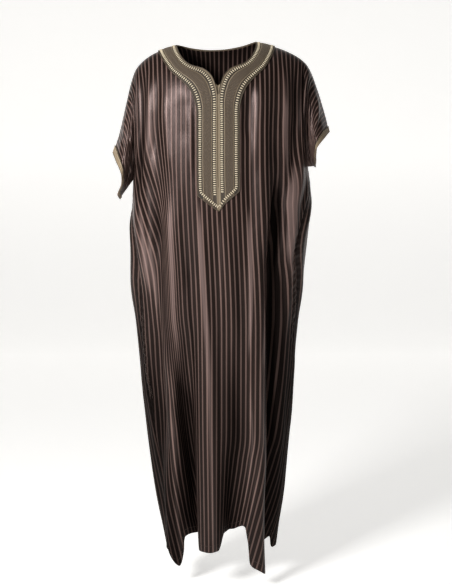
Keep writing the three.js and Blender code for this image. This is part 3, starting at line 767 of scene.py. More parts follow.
def shell_piece(
    name: str,
    outer: Array,
    inner: Array,
    uv: Array,
    live: Array | None = None,
    wrapped: bool = False,
    flip: bool = False,
    painted_light: Array | None = None,
) -> bpy.types.Object:
    """Make a closed thin shell over a grid of cloth places.

    Args:
        name: The piece's name.
        outer: The outer skin's points, by row and column.
        inner: The inner skin's points, by row and column.
        uv: The cloth place of each point.
        live: Which cells are there; all of them if it is left out.
        wrapped: Whether the last row joins the first.
        flip: Whether the grid runs the other way round.
        painted_light: The painted light and shade that the folds leave at each point; full light if it is
            left out.

    Returns:
        The object.
    """
    rows, cols = outer.shape[:2]
    cell_rows = rows if wrapped else rows - 1
    if live is None:
        live = np.ones((cell_rows, cols - 1), dtype=bool)
    count = rows * cols
    i, j = np.nonzero(live)
    below = (i + 1) % rows
    corners = [i * cols + j, below * cols + j, below * cols + j + 1, i * cols + j + 1]
    faces = [np.stack(corners, axis=1), np.stack([corner + count for corner in corners[::-1]], axis=1)]
    padded = np.zeros((cell_rows + 2, cols + 1), dtype=bool)
    padded[1:-1, 1:-1] = live
    if wrapped:
        padded[0, 1:-1] = live[-1]
        padded[-1, 1:-1] = live[0]
    a, b, c, d = corners
    beside = {
        (0, -1): (a, b), (1, 0): (b, c), (0, 1): (c, d), (-1, 0): (d, a),
    }
    for (down, across), (start, end) in beside.items():
        bare = ~padded[i + 1 + down, j + 1 + across]
        rim = np.stack([start, start + count, end + count, end], axis=1)[bare]
        faces.append(rim)
    every = np.concatenate(faces)
    if flip:
        every = every[:, ::-1]
    points = np.concatenate([outer.reshape(-1, 3), inner.reshape(-1, 3)])
    pairs = uv.reshape(-1, 2)
    lit = np.ones(count) if painted_light is None else painted_light.ravel()
    piece = mesh_piece(name, points, every, np.concatenate([pairs, pairs]), np.concatenate([lit, lit]))
    drop_loose(piece)
    return piece


def drop_loose(piece: bpy.types.Object) -> None:
    """Remove vertices that no face uses."""
    mesh = piece.data
    used = np.zeros(len(mesh.vertices), dtype=bool)
    index = np.zeros(len(mesh.loops), dtype=np.int32)
    mesh.loops.foreach_get("vertex_index", index)
    used[index] = True
    if used.all():
        return
    loose = bmesh.new()
    loose.from_mesh(mesh)
    bmesh.ops.delete(loose, geom=[v for v in loose.verts if not v.link_faces], context="VERTS")
    loose.to_mesh(mesh)
    loose.free()


def tube_piece(name: str, centres: Array, out: Array, wide: float, high: float, sides: int = 8,
               closed: bool = False, pitch: float = 0.0) -> bpy.types.Object:
    """Make a cord along a path, oval in section.

    Args:
        name: The piece's name.
        centres: The path's points in millimetres.
        out: The outward direction at each point.
        wide: Half its width along the cloth.
        high: Half its height off the cloth.
        sides: Faces round it.
        closed: Whether the path is a ring.
        pitch: The length of one twist, which swells the cord gently; 0 for none.

    Returns:
        The object.
    """
    ahead = np.roll(centres, -1, axis=0) - np.roll(centres, 1, axis=0)
    if not closed:
        ahead[0] = centres[1] - centres[0]
        ahead[-1] = centres[-1] - centres[-2]
    ahead = unit(ahead)
    across = unit(np.cross(ahead, out))
    upward = np.cross(across, ahead)
    steps = np.linalg.norm(np.diff(centres, axis=0), axis=1)
    along = run_along(steps)
    turn = np.arange(sides) * 2 * math.pi / sides
    swell = 1.0
    if pitch:
        swell = 1.0 + TWIST_SWELL * np.sin(2 * math.pi * along[:, None] / pitch + turn[None, :])
    ring = (across[:, None] * (np.cos(turn) * wide)[None, :, None]
            + upward[:, None] * (np.sin(turn) * high)[None, :, None])
    points = centres[:, None] + ring * (swell[..., None] if pitch else 1.0)
    count = len(centres)
    spans = np.arange(count if closed else count - 1)
    k, s = np.meshgrid(spans, np.arange(sides), indexing="ij")
    k = k.ravel()
    s = s.ravel()
    faces = quads(k, s, (k + 1) % count, (s + 1) % sides, sides)
    vertices = points.reshape(-1, 3)
    pairs = np.stack(np.broadcast_arrays(turn[None, :] * wide, along[:, None]), axis=-1).reshape(-1, 2)
    if not closed:
        ends = np.stack([centres[0], centres[-1]])
        vertices = np.concatenate([vertices, ends])
        pairs = np.concatenate([pairs, [[0.0, 0.0], [0.0, along[-1]]]])
        tip = np.arange(sides)
        after = (tip + 1) % sides
        first = np.stack([tip, after, np.full(sides, count * sides)], axis=1)
        base = (count - 1) * sides
        final = np.stack([base + after, base + tip, np.full(sides, count * sides + 1)], axis=1)
        triangles = np.concatenate([first, final])
        halves = np.concatenate([faces[:, [0, 1, 2]], faces[:, [0, 2, 3]]])
        faces = np.concatenate([halves, triangles])
    return mesh_piece(name, vertices, faces, pairs)


def bar_piece(name: str, centres: Array, along: Array, out: Array, long: float, wide: float,
              high: float, sides: int = 8) -> bpy.types.Object:
    """Make many small rounded bars in one mesh, such as stitches or the rungs of a ladder braid.

    Args:
        name: The piece's name.
        centres: The middle of each bar.
        along: The way each bar lies.
        out: The outward direction at each bar.
        long: Half a bar's length.
        wide: Half its width.
        high: Half its height.
        sides: Faces round a bar.

    Returns:
        The object.
    """
    along = unit(along)
    across = unit(np.cross(along, out))
    upward = np.cross(across, along)
    turn = np.arange(sides) * 2 * math.pi / sides
    shares, sizes = np.array(BAR_OUTLINE).T
    ring = (across[:, None, None] * (np.cos(turn) * wide)[None, None, :, None]
            + upward[:, None, None] * (np.sin(turn) * high)[None, None, :, None])
    points = (centres[:, None, None] + along[:, None, None] * (shares * long)[None, :, None, None]
              + ring * sizes[None, :, None, None])
    count = len(centres)
    per = len(shares) * sides
    k, s = np.meshgrid(np.arange(len(shares) - 1), np.arange(sides), indexing="ij")
    k = k.ravel()
    s = s.ravel()
    walls = quads(k, s, k + 1, (s + 1) % sides, sides)
    fan = np.stack([np.full(sides - 2, 0), np.arange(1, sides - 1), np.arange(2, sides)], axis=1)
    caps = [fan, per - sides + fan[:, ::-1]]
    faces = np.concatenate([walls[:, [0, 1, 2]], walls[:, [0, 2, 3]], *caps])
    every = (faces[None] + (np.arange(count) * per)[:, None, None]).reshape(-1, 3)
    run = np.broadcast_to((shares * long)[None, :, None], points.shape[:3])
    round_it = np.broadcast_to((turn * wide)[None, None, :], points.shape[:3])
    pairs = np.stack([round_it, run], axis=-1).reshape(-1, 2)
    return mesh_piece(name, points.reshape(-1, 3), every, pairs)


def polyline(places: Array, step: float) -> Array:
    """Return places along a line of cloth places, evenly spaced.

    Args:
        places: The line's u and w, one row each.
        step: The spacing in millimetres.

    Returns:
        The evenly spaced u and w.
    """
    sizes = np.linalg.norm(np.diff(places, axis=0), axis=1)
    run = run_along(sizes)
    count = max(2, int(round(run[-1] / step)) + 1)
    at = np.linspace(0.0, run[-1], count)
    return np.stack([np.interp(at, run, places[:, 0]), np.interp(at, run, places[:, 1])], axis=1)


# Materials

class Sketch:
    """A short way to lay out a node tree."""

    def __init__(self, tree: bpy.types.NodeTree) -> None:
        """Keep the tree that is being laid out."""
        self.tree = tree

    def node(self, kind: str, inputs: dict | None = None, **settings: object) -> bpy.types.Node:
        """Add a node.

        Args:
            kind: The node's type name.
            inputs: Socket names or numbers, each with a value or with a socket to link from.
            settings: The node's own settings.

        Returns:
            The node.
        """
        made = self.tree.nodes.new(kind)
        for key, value in settings.items():
            setattr(made, key, value)
        for key, value in (inputs or {}).items():
            self.feed(made.inputs[key], value)
        return made

    def feed(self, socket: bpy.types.NodeSocket, value: object) -> None:
        """Link or set one input socket."""
        if isinstance(value, bpy.types.NodeSocket):
            self.tree.links.new(value, socket)
        else:
            socket.default_value = value

    def sum(self, operation: str, *values: object) -> bpy.types.NodeSocket:
        """Return the result of a Math node."""
        inputs = dict(enumerate(values))
        return self.node("ShaderNodeMath", inputs, operation=operation).outputs[0]

    def blend(self, share: object, a: object, b: object, way: str = "MIX") -> bpy.types.NodeSocket:
        """Return the result of a colour Mix node."""
        made = self.node("ShaderNodeMix", {0: share, 6: a, 7: b}, data_type="RGBA", blend_type=way)
        return made.outputs[2]

    def ramp(self, value: object, low: object, high: object, start: float = 0.0,
             end: float = 1.0) -> bpy.types.NodeSocket:
        """Return value taken softly from the span low..high to the span start..end."""
        made = self.node("ShaderNodeMapRange", {0: value, 1: low, 2: high, 3: start, 4: end},
                         interpolation_type="SMOOTHSTEP")
        return made.outputs[0]

    def window(self, value: object, start: float, end: float, edge: float) -> bpy.types.NodeSocket:
        """Return 1 where the value is from start to end, falling softly to 0 over the edge."""
        return self.sum("MULTIPLY", self.ramp(value, start - edge, start + edge),
                        self.ramp(value, end - edge, end + edge, 1.0, 0.0))

    def wave(self, run: object, pitch: object) -> bpy.types.NodeSocket:
        """Return a sine wave of a pitch along a run."""
        return self.sum("SINE", self.sum("DIVIDE", self.sum("MULTIPLY", run, math.tau), pitch))

    def noise(self, place: object, scale: object, detail: float, roughness: float) -> bpy.types.NodeSocket:
        """Return the value of a Noise texture."""
        inputs = {"Vector": place, "Scale": scale, "Detail": detail, "Roughness": roughness}
        return self.node("ShaderNodeTexNoise", inputs).outputs[0]

    def toned(self, colour: object, shade: object) -> bpy.types.NodeSocket:
        """Return a colour made lighter or darker by a shade."""
        tone = self.node("ShaderNodeCombineColor", {0: shade, 1: shade, 2: shade}).outputs[0]
        return self.blend(1.0, colour, tone, "MULTIPLY")

    def painted_light(self) -> bpy.types.NodeSocket:
        """Return the painted light and shade stored at each vertex, from its place in the folds."""
        return self.node("ShaderNodeAttribute", attribute_name="painted_light").outputs["Fac"]


def rgb(red: int, green: int, blue: int) -> tuple[float, float, float, float]:
    """Return a linear colour from screen values of 0 to 255."""
    def straight(value: int) -> float:
        """Return one screen value made linear."""
        share = value / 255.0
        return share / 12.92 if share <= 0.04045 else ((share + 0.055) / 1.055) ** 2.4
    return (straight(red), straight(green), straight(blue), 1.0)


def new_group(name: str, sizes: dict[str, float],
              outputs: Sequence[str]) -> tuple[Sketch, bpy.types.Node, bpy.types.Node]:
    """Start a shader node group that reads a place on the cloth.

    Args:
        name: The group's name.
        sizes: The numbers that the group takes, each with its first value.
        outputs: The names of the numbers that it gives.

    Returns:
        A sketch of the group, and its input and output nodes.
    """
    tree = bpy.data.node_groups.new(name, "ShaderNodeTree")
    tree.interface.new_socket(name="Place", in_out="INPUT", socket_type="NodeSocketVector")
    for key, value in sizes.items():
        socket = tree.interface.new_socket(name=key, in_out="INPUT", socket_type="NodeSocketFloat")
        socket.default_value = value
    for key in outputs:
        tree.interface.new_socket(name=key, in_out="OUTPUT", socket_type="NodeSocketFloat")
    sketch = Sketch(tree)
    return sketch, sketch.node("NodeGroupInput"), sketch.node("NodeGroupOutput")


class Effects:
    """The effects that the finishes share, each a node group that is built once."""

    def __init__(self) -> None:
        """Build the four groups."""
        self.weave = self.build_weave()
        self.stripes = self.build_stripes()
        self.uneven = self.build_uneven()
        self.chevrons = self.build_chevrons()

    @staticmethod
    def build_weave() -> bpy.types.NodeTree:
        """Return threads that cross over and under: a height and a light-and-dark mask."""
        sketch, given, result = new_group(
            "thread_weave", {"Warp pitch": 0.0005, "Weft pitch": 0.0005, "Slant": 0.0}, ("Height", "Mask"))
        split = sketch.node("ShaderNodeSeparateXYZ", {0: given.outputs["Place"]})
        leaned = sketch.sum("MULTIPLY_ADD", split.outputs[1], given.outputs["Slant"], split.outputs[0])
        warp = sketch.wave(leaned, given.outputs["Warp pitch"])
        weft = sketch.wave(split.outputs[1], given.outputs["Weft pitch"])
        both = sketch.sum("MULTIPLY", warp, weft)
        sketch.feed(result.inputs["Height"], sketch.sum("MULTIPLY_ADD", both, 0.5, 0.5))
        sketch.feed(result.inputs["Mask"], sketch.ramp(both, -0.6, 0.6))
        return sketch.tree

    @staticmethod
    def build_stripes() -> bpy.types.NodeTree:
        """Return woven stripes: a mask for the light stripe and one for the hair lines beside it."""
        sketch, given, result = new_group(
            "woven_stripes", {"Pitch": 0.0128, "Light share": 0.35, "Softness": 0.06}, ("Light", "Hairline"))
        split = sketch.node("ShaderNodeSeparateXYZ", {0: given.outputs["Place"]})
        saw = sketch.sum("FRACT", sketch.sum("DIVIDE", split.outputs[0], given.outputs["Pitch"]))
        aside = sketch.sum("MULTIPLY", sketch.sum("ABSOLUTE", sketch.sum("SUBTRACT", saw, 0.5)), 2.0)
        share = given.outputs["Light share"]
        low = sketch.sum("SUBTRACT", share, given.outputs["Softness"])
        high = sketch.sum("ADD", share, given.outputs["Softness"])
        beside = sketch.sum("ABSOLUTE", sketch.sum("SUBTRACT", aside, 0.8))
        sketch.feed(result.inputs["Light"], sketch.ramp(aside, low, high, 1.0, 0.0))
        sketch.feed(result.inputs["Hairline"], sketch.ramp(beside, 0.03, 0.1, 1.0, 0.0))
        return sketch.tree

    @staticmethod
    def build_uneven() -> bpy.types.NodeTree:
        """Return slow shade changes, fine crumple and rubbed spots, over the cloth's own place."""
        sketch, given, result = new_group(
            "handled_cloth", {"Scale": 9.0, "Crumple": 55.0, "Amount": 0.12}, ("Shade", "Height", "Wear"))
        slow = sketch.noise(given.outputs["Place"], given.outputs["Scale"], 3.0, 0.55)
        fine = sketch.noise(given.outputs["Place"], given.outputs["Crumple"], 4.0, 0.6)
        centred = sketch.sum("SUBTRACT", slow, 0.5)
        swing = sketch.sum("MULTIPLY", given.outputs["Amount"], 2.0)
        sketch.feed(result.inputs["Shade"], sketch.sum("MULTIPLY_ADD", centred, swing, 1.0))
        sketch.feed(result.inputs["Height"], fine)
        sketch.feed(result.inputs["Wear"], sketch.ramp(sketch.sum("MULTIPLY", slow, fine), 0.26, 0.42))
        return sketch.tree

    @staticmethod
    def build_chevrons() -> bpy.types.NodeTree:
        """Return plaited chevrons between two edges: a height and a mask of the raised threads."""
        sketch, given, result = new_group(
            "plaited_chevrons", {"Pitch": 0.003, "Column": 0.005}, ("Height", "Mask"))
        split = sketch.node("ShaderNodeSeparateXYZ", {0: given.outputs["Place"]})
        column = sketch.sum("DIVIDE", split.outputs[0], given.outputs["Column"])
        peak = sketch.sum("PINGPONG", column, 1.0)
        run = sketch.sum("MULTIPLY_ADD", peak, given.outputs["Column"], split.outputs[1])
        wave = sketch.wave(run, given.outputs["Pitch"])
        sketch.feed(result.inputs["Height"], sketch.sum("MULTIPLY_ADD", wave, 0.5, 0.5))
        sketch.feed(result.inputs["Mask"], sketch.ramp(wave, -0.35, 0.55))
        return sketch.tree


class Finish:
    """A material with its sketch, its shader and the places that its effects read."""

    def __init__(self, name: str, effects: Effects) -> None:
        """Start the material.

        Args:
            name: The material's name.
            effects: The shared groups.
        """
        self.effects = effects
        self.material = bpy.data.materials.new(name)
        self.material.use_nodes = True
        self.sketch = Sketch(self.material.node_tree)
        self.shader = self.material.node_tree.nodes["Principled BSDF"]
        self.cloth = self.sketch.node("ShaderNodeUVMap", uv_map="cloth").outputs[0]
        self.body = self.sketch.node("ShaderNodeTexCoord").outputs["Object"]

    def effect(self, tree: bpy.types.NodeTree, **values: object) -> bpy.types.Node:
        """Place a shared group, with its inputs named with _ for a space."""
        made = self.sketch.node("ShaderNodeGroup", node_tree=tree)
        for key, value in values.items():
            self.sketch.feed(made.inputs[key.replace("_", " ")], value)
        return made

    def handled(self, scale: float, crumple: float, amount: float) -> bpy.types.Node:
        """Place the shared unevenness, over the piece's own place."""
        return self.effect(self.effects.uneven, Place=self.body, Scale=scale, Crumple=crumple,
                           Amount=amount)

    def woven(self, warp: float, weft: float, slant: float) -> bpy.types.Node:
        """Place the shared weave, over the cloth's own place."""
        return self.effect(self.effects.weave, Place=self.cloth, Warp_pitch=warp, Weft_pitch=weft,
                           Slant=slant)

    def relief(self, *layers: tuple[object, float]) -> None:
        """Feed the normal from heights, each with its distance in millimetres."""
        normal = None
        for height, distance in layers:
            inputs = {"Height": height, "Strength": 1.0, "Distance": distance * MM}
            if normal is not None:
                inputs["Normal"] = normal
            normal = self.sketch.node("ShaderNodeBump", inputs).outputs[0]
        self.sketch.feed(self.shader.inputs["Normal"], normal)

    def set(self, **values: object) -> None:
        """Set the shader's own sockets, named with _ for a space."""
        for key, value in values.items():
            self.sketch.feed(self.shader.inputs[key.replace("_", " ")], value)


@dataclass(frozen=True)
class StripedSatin:
    """Dark brown satin with lighter woven stripes and a soft sheen: real gloss, with painted shade in its
    folds and a painted sheen on its ridges.
    """

    ground: tuple = rgb(22, 15, 12)
    light: tuple = rgb(116, 94, 87)
    hairline: tuple = rgb(46, 34, 29)
    # A painted sheen colour, mixed onto the ridges where the painted light is strong
    painted_sheen: tuple = rgb(128, 108, 103)
    pitch: float = 0.0126
    light_share: float = 0.29
    softness: float = 0.12
    roughness: float = 0.33
    sheen: float = 0.0
    sheen_roughness: float = 0.4
    sheen_tint: tuple = rgb(214, 186, 176)
    specular_tint: tuple = rgb(255, 226, 220)
    specular: float = 0.34
    uneven: tuple = (7.0, 48.0, 0.16)
    weave: tuple = (0.0006, 0.0011, 0.4)
    hairline_share: float = 0.5
    threads: tuple = (0.93, 1.05)
    painted_sheen_range: tuple = (0.92, 1.5)
    painted_sheen_share: float = 0.6
    worn_rougher: float = 0.08
    light_smoother: float = -0.05
    dull_painted_range: tuple = (0.25, 0.9)
    dull_rougher: float = 0.4
    crumple_relief: float = 0.35
    weave_relief: float = 0.04
    stripe_relief: float = 0.12

    def make(self, effects: Effects) -> bpy.types.Material:
        """Return the material."""
        finish = Finish("striped_satin", effects)
        sketch = finish.sketch
        stripes = finish.effect(effects.stripes, Place=finish.cloth, Pitch=self.pitch,
                                Light_share=self.light_share, Softness=self.softness)
        uneven = finish.handled(*self.uneven)
        weave = finish.woven(*self.weave)
        lines = sketch.sum("MULTIPLY", stripes.outputs["Hairline"], self.hairline_share)
        base = sketch.blend(lines, self.ground, self.hairline)
        base = sketch.blend(stripes.outputs["Light"], base, self.light)
        # Painted shade darkens the colour in the folds and toward the hem; a painted sheen is mixed onto the
        # lit ridges
        painted_shading = sketch.painted_light()
        threads = sketch.ramp(weave.outputs["Mask"], 0.0, 1.0, *self.threads)
        shade = sketch.sum("MULTIPLY", sketch.sum("MULTIPLY", uneven.outputs["Shade"], threads), painted_shading)
        painted_sheen_mask = sketch.ramp(painted_shading, *self.painted_sheen_range, 0.0, self.painted_sheen_share)
        rough = sketch.sum("MULTIPLY_ADD", uneven.outputs["Wear"], self.worn_rougher, self.roughness)
        rough = sketch.sum("MULTIPLY_ADD", stripes.outputs["Light"], self.light_smoother, rough)
        rough = sketch.sum("ADD", rough, sketch.ramp(painted_shading, *self.dull_painted_range, self.dull_rougher, 0.0))
        finish.relief((uneven.outputs["Height"], self.crumple_relief),
                      (weave.outputs["Height"], self.weave_relief),
                      (stripes.outputs["Light"], self.stripe_relief))
        finish.set(Base_Color=sketch.blend(painted_sheen_mask, sketch.toned(base, shade), self.painted_sheen),
                   Roughness=rough, Sheen_Weight=self.sheen, Sheen_Roughness=self.sheen_roughness,
                   Sheen_Tint=self.sheen_tint, Specular_Tint=self.specular_tint,
                   Specular_IOR_Level=sketch.sum("MULTIPLY", painted_shading, self.specular))
        return finish.material


@dataclass(frozen=True)
class BandCloth:
    """Plaited gold-brown braid cloth over a dark olive ground, as on the neck band and the cuffs, with
    painted shadow under the neck band's ladder braid.
    """

    name: str
    ground: tuple = rgb(42, 33, 23)
    thread: tuple = rgb(98, 82, 64)
    line: tuple = rgb(138, 122, 98)
    strip: float = 0.0042
    pitch: float = 0.0034
    column: float = 0.0052
    plait_start: float = 0.0155
    plait_end: float = 0.0375
    ladders: tuple = ((0.0046, 0.0130), (0.0400, 0.0486))
    # A painted shadow colour in the strips beneath the ladder braid
    shadow: tuple = rgb(38, 30, 20)
    roughness: float = 0.62
    worn_rougher: float = 0.12
    sheen: float = 0.15
    sheen_roughness: float = 0.5
    sheen_tint: tuple = rgb(226, 210, 180)
    uneven: tuple = (14.0, 160.0, 0.14)
    weave: tuple = (0.0009, 0.0009, 0.0)
    weave_share: float = 0.35
    edge: float = 0.0008
    line_reach: tuple = (0.0003, 0.0010)
    strip_share: float = 0.8
    plait_relief: float = 0.5
    weave_relief: float = 0.12
    crumple_relief: float = 0.15

    def make(self, effects: Effects) -> bpy.types.Material:
        """Return the material."""
        finish = Finish(self.name, effects)
        sketch = finish.sketch
        plait = finish.effect(effects.chevrons, Place=finish.cloth, Pitch=self.pitch, Column=self.column)
        uneven = finish.handled(*self.uneven)
        weave = finish.woven(*self.weave)
        across = sketch.node("ShaderNodeSeparateXYZ", {0: finish.cloth}).outputs[0]
        inside = sketch.window(across, self.plait_start, self.plait_end, self.edge)
        woven = sketch.sum("MULTIPLY", weave.outputs["Mask"], self.weave_share)
        base = sketch.blend(woven, self.ground, self.thread)
        base = sketch.blend(sketch.sum("MULTIPLY", inside, plait.outputs["Mask"]), base, self.thread)
        sides = [sketch.sum("ABSOLUTE", sketch.sum("SUBTRACT", across, place))
                 for place in (self.plait_start, self.plait_end)]
        lines = sketch.ramp(sketch.sum("MINIMUM", *sides), *self.line_reach, 1.0, 0.0)
        base = sketch.blend(lines, base, self.line)
        strip = sketch.ramp(across, self.strip - self.edge, self.strip + self.edge, self.strip_share, 0.0)
        base = sketch.blend(strip, base, self.line)
        # Painted shadow under the ladder braid, left out where the inner ladder has ended
        laddered = sketch.painted_light()
        for start, end in self.ladders:
            beneath = sketch.sum("MULTIPLY", sketch.window(across, start, end, self.edge), laddered)
            base = sketch.blend(beneath, base, self.shadow)
        finish.relief((sketch.sum("MULTIPLY", inside, plait.outputs["Height"]), self.plait_relief),
                      (weave.outputs["Height"], self.weave_relief),
                      (uneven.outputs["Height"], self.crumple_relief))
        rough = sketch.sum("MULTIPLY_ADD", uneven.outputs["Wear"], self.worn_rougher, self.roughness)
        finish.set(Base_Color=sketch.toned(base, uneven.outputs["Shade"]), Roughness=rough,
                   Sheen_Weight=self.sheen, Sheen_Roughness=self.sheen_roughness, Sheen_Tint=self.sheen_tint)
        return finish.material


@dataclass(frozen=True)
class TwistedThread:
    """Twisted thread, as in the ladder braid, the piping and the stitches, with painted shade in the grooves
    of its twist.
    """

    name: str
    colour: tuple
    groove_shade: tuple
    pitch: float = 0.0011
    roughness: float = 0.55
    worn_rougher: float = 0.1
    weft: float = 0.02
    slant: float = 0.7
    uneven: tuple = (26.0, 240.0, 0.12)
    twist_share: float = 0.6
    twist_relief: float = 0.12
    crumple_relief: float = 0.08

    def make(self, effects: Effects) -> bpy.types.Material:
        """Return the material."""
        finish = Finish(self.name, effects)
        sketch = finish.sketch
        twist = finish.woven(self.pitch, self.weft, self.slant)
        uneven = finish.handled(*self.uneven)
        # Painted shade in the grooves of the twist, lighter on its lit crests
        lit = sketch.sum("MULTIPLY", twist.outputs["Mask"], self.twist_share)
        base = sketch.blend(lit, self.groove_shade, self.colour)
        rough = sketch.sum("MULTIPLY_ADD", uneven.outputs["Wear"], self.worn_rougher, self.roughness)
        finish.relief((twist.outputs["Height"], self.twist_relief),
                      (uneven.outputs["Height"], self.crumple_relief))
        finish.set(Base_Color=sketch.toned(base, uneven.outputs["Shade"]), Roughness=rough)
        return finish.material


@dataclass(frozen=True)
class PaleStudio:
    """The plain pale floor and backdrop."""

    colour: tuple = rgb(238, 237, 235)
    roughness: float = 0.9
    glow: float = 0.66
    uneven: tuple = (0.6, 30.0, 0.02)
    relief: float = 0.1

    def make(self, effects: Effects) -> bpy.types.Material:
        """Return the material."""
        finish = Finish("pale_backdrop", effects)
        uneven = finish.handled(*self.uneven)
        finish.relief((uneven.outputs["Height"], self.relief))
        finish.set(Base_Color=finish.sketch.toned(self.colour, uneven.outputs["Shade"]),
                   Roughness=self.roughness, Emission_Color=self.colour, Emission_Strength=self.glow)
        return finish.material


@dataclass
class Wardrobe:
    """Every finish of the garment, made once."""

    effects: Effects

    def __post_init__(self) -> None:
        """Make the materials."""
        self.satin = StripedSatin().make(self.effects)
        self.band = BandCloth("embroidered_band").make(self.effects)
        self.cuff = BandCloth("cuff_braid", ground=rgb(112, 94, 72), thread=rgb(170, 150, 122),
                              line=rgb(184, 166, 138), plait_start=0.0022, plait_end=0.0148,
                              ladders=()).make(self.effects)
        cream = TwistedThread("cream_thread", rgb(248, 236, 212), rgb(196, 180, 148))
        piping = TwistedThread("piping_cord", rgb(104, 90, 70), rgb(58, 48, 34))
        thread = TwistedThread("brown_thread", rgb(98, 80, 70), rgb(54, 42, 36), pitch=0.0007)
        self.cream, self.piping, self.thread = (each.make(self.effects) for each in (cream, piping, thread))
        self.studio = PaleStudio().make(self.effects)

    @staticmethod
    def settle(piece: bpy.types.Object, material: bpy.types.Material, slot: str,
               nodes: Sequence[str] = ()) -> bpy.types.Object:
        """Dress a piece and fix it to the frame.

        Args:
            piece: The piece.
            material: Its finish.
            slot: The record's material slot; not used.
            nodes: The solids that it stands for.

        Returns:
            The same piece.
        """
        piece.data.materials.clear()
        piece.data.materials.append(material)
        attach(piece, "root")
        if nodes:
            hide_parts(*nodes)
        log.info("%s: %d faces", piece.name, len(piece.data.polygons))
        return piece


# The garment's pieces

@dataclass
class BodyPanel:
    """The front or the back of the body, one straight panel from shoulder to hem."""

    form: ClothForm
    facing: Facing
    upper_rows: int = 62
    lower_rows: int = 250
    neck_inset: float = 4.0
    hem_turn: float = 20.0
    hem_extra: float = 0.7
    slit_end: float = 368.0
    column_stops: tuple[float, ...] = (84.0, 112.0, 250.0)
    column_counts: tuple[int, ...] = (17, 14, 25, 12)
    hem_soft: float = 2.0

    @property
    def name(self) -> str:
        """Return the piece's name."""
        return "front_cloth" if self.facing is Facing.FRONT else "back_cloth"

    def columns(self) -> Array:
        """Return the places across that the grid uses, as cut at the armholes."""
        cut = self.form.cut
        stops = (cut.slit_half, *self.column_stops, cut.body_half)
        spans = zip(stops[:-1], stops[1:], self.column_counts)
        half = np.concatenate([np.linspace(*span)[:-1] for span in spans] + [[cut.body_half]])
        return np.concatenate([-half[::-1], half])

    def neck_edge(self, u: Array) -> Array:
        """Return how far down the cloth starts, a little inside the neck band's edge."""
        rows = FRONT_NECK if self.facing is Facing.FRONT else BACK_NECK
        inside = np.maximum(0.0, np.abs(u) - self.neck_inset)
        start = rows.at("w", inside) + 0.5 * self.neck_inset
        return np.where(inside >= self.form.cut.neck_half, 0.0, np.maximum(0.0, start))

    def flat_area(self) -> float:
        """Return the cut's flat area in square metres."""
        cut = self.form.cut
        w = np.linspace(0.0, cut.length, 600)
        whole = np.trapz(2 * self.form.body_half(w), w)
        u = np.linspace(-cut.neck_half, cut.neck_half, 300)
        return float(whole - np.trapz(self.neck_edge(u), u)) * MM * MM

    def build(self, wardrobe: Wardrobe) -> bpy.types.Object:
        """Return the dressed panel."""
        cut = self.form.cut
        place = self.columns()
        start = self.neck_edge(place)
        share = np.linspace(0.0, 1.0, self.upper_rows + 1)[:, None]
        upper = mix(start[None, :], cut.underarm_depth, share)
        lower = np.linspace(cut.underarm_depth, cut.length, self.lower_rows + 1)[1:, None]
        w = np.concatenate([upper, np.broadcast_to(lower, (self.lower_rows, len(place)))])
        u = place[None, :] / cut.body_half * self.form.body_half(w)
        outer = self.form.place(self.facing, u, w)
        turned = smooth((w - cut.length + self.hem_turn) / self.hem_soft)
        inner = self.form.place(self.facing, u, w, -cut.wall - self.hem_extra * turned)
        live = np.ones((w.shape[0] - 1, w.shape[1] - 1), dtype=bool)
        if self.facing is Facing.FRONT:
            live[:, len(place) // 2 - 1] = w[1:, 0] > self.slit_end
        # The panel carries the painted light and shade of its folds
        piece = shell_piece(self.name, outer, inner, self.form.grain(self.facing, u, w), live,
                            flip=self.facing is Facing.BACK, painted_light=self.form.painted_light(self.facing, u, w))
        return wardrobe.settle(piece, wardrobe.satin, "striped_satin", [self.facing.name.lower()])


@dataclass
class ShortSleeve:
    """A short sleeve: a tube folded at the overarm and sewn on at the armhole."""

    form: ClothForm
    side: Side
    steps: int = 84
    columns: int = 44
    overarm_cut: float = 155.0
    underarm_cut: float = 52.0
    armhole_round: float = 500.0
    cuff_round: float = 330.0
    seam_share: float = 0.14

    def flat_area(self) -> float:
        """Return the cut's flat area in square metres."""
        long = (self.overarm_cut + self.underarm_cut) / 2
        wide = (self.armhole_round + self.cuff_round) / 2
        return long * wide * MM * MM

    def ring(self, reach: Array, lift: Array | float) -> tuple[Array, Array, Array, Array]:
        """Return rings round the sleeve.

        Args:
            reach: Places outwards along the sleeve.
            lift: How far off the outer face the points stand, by place along the sleeve.

        Returns:
            The points and their outward directions, by place round the arm and along it, and u and w there.
        """
        cut = self.form.cut
        turn = np.arange(2 * self.steps) / self.steps
        q = np.where(turn <= 1.0, turn, 2.0 - turn)[:, None]
        front = (turn <= 1.0)[:, None]
        share = (reach - cut.body_half) / (cut.sleeve_half - cut.body_half)
        depth = mix(cut.underarm_depth, cut.cuff_depth, share)[None, :]
        q = np.broadcast_to(q, (len(turn), len(reach)))
        u = np.broadcast_to(self.side.value * reach[None, :], q.shape)
        w = q * depth
        ahead, behind = (self.form.sleeve(facing, u, q) for facing in (Facing.FRONT, Facing.BACK))
        bare = np.where(front[..., None], ahead, behind)
        around = np.roll(bare, -1, axis=0) - np.roll(bare, 1, axis=0)
        along = np.gradient(bare, axis=1)
        out = unit(np.cross(along, around) * -self.side.value)
        ahead, behind = (self.form.creased(facing, u, w) for facing in (Facing.FRONT, Facing.BACK))
        height = np.where(front, ahead, behind) * smooth(np.minimum(q, 1.0 - q) / self.seam_share)
        return bare + out * (height + lift)[..., None], out, u, w

    def build(self, wardrobe: Wardrobe) -> bpy.types.Object:
        """Return the dressed sleeve."""
        cut = self.form.cut
        reach = np.linspace(cut.body_half, cut.sleeve_half, self.columns)
        outer, _, u, w = self.ring(reach, 0.0)
        inner, _, _, _ = self.ring(reach, -cut.wall)
        name = f"sleeve_cloth_{self.side.name.lower()}"
        piece = shell_piece(name, outer, inner, np.stack([u, w], axis=-1), wrapped=True,
                            flip=self.side is Side.LEFT)
        return wardrobe.settle(piece, wardrobe.satin, "striped_satin", [f"sleeve_{self.side.name.lower()}"])


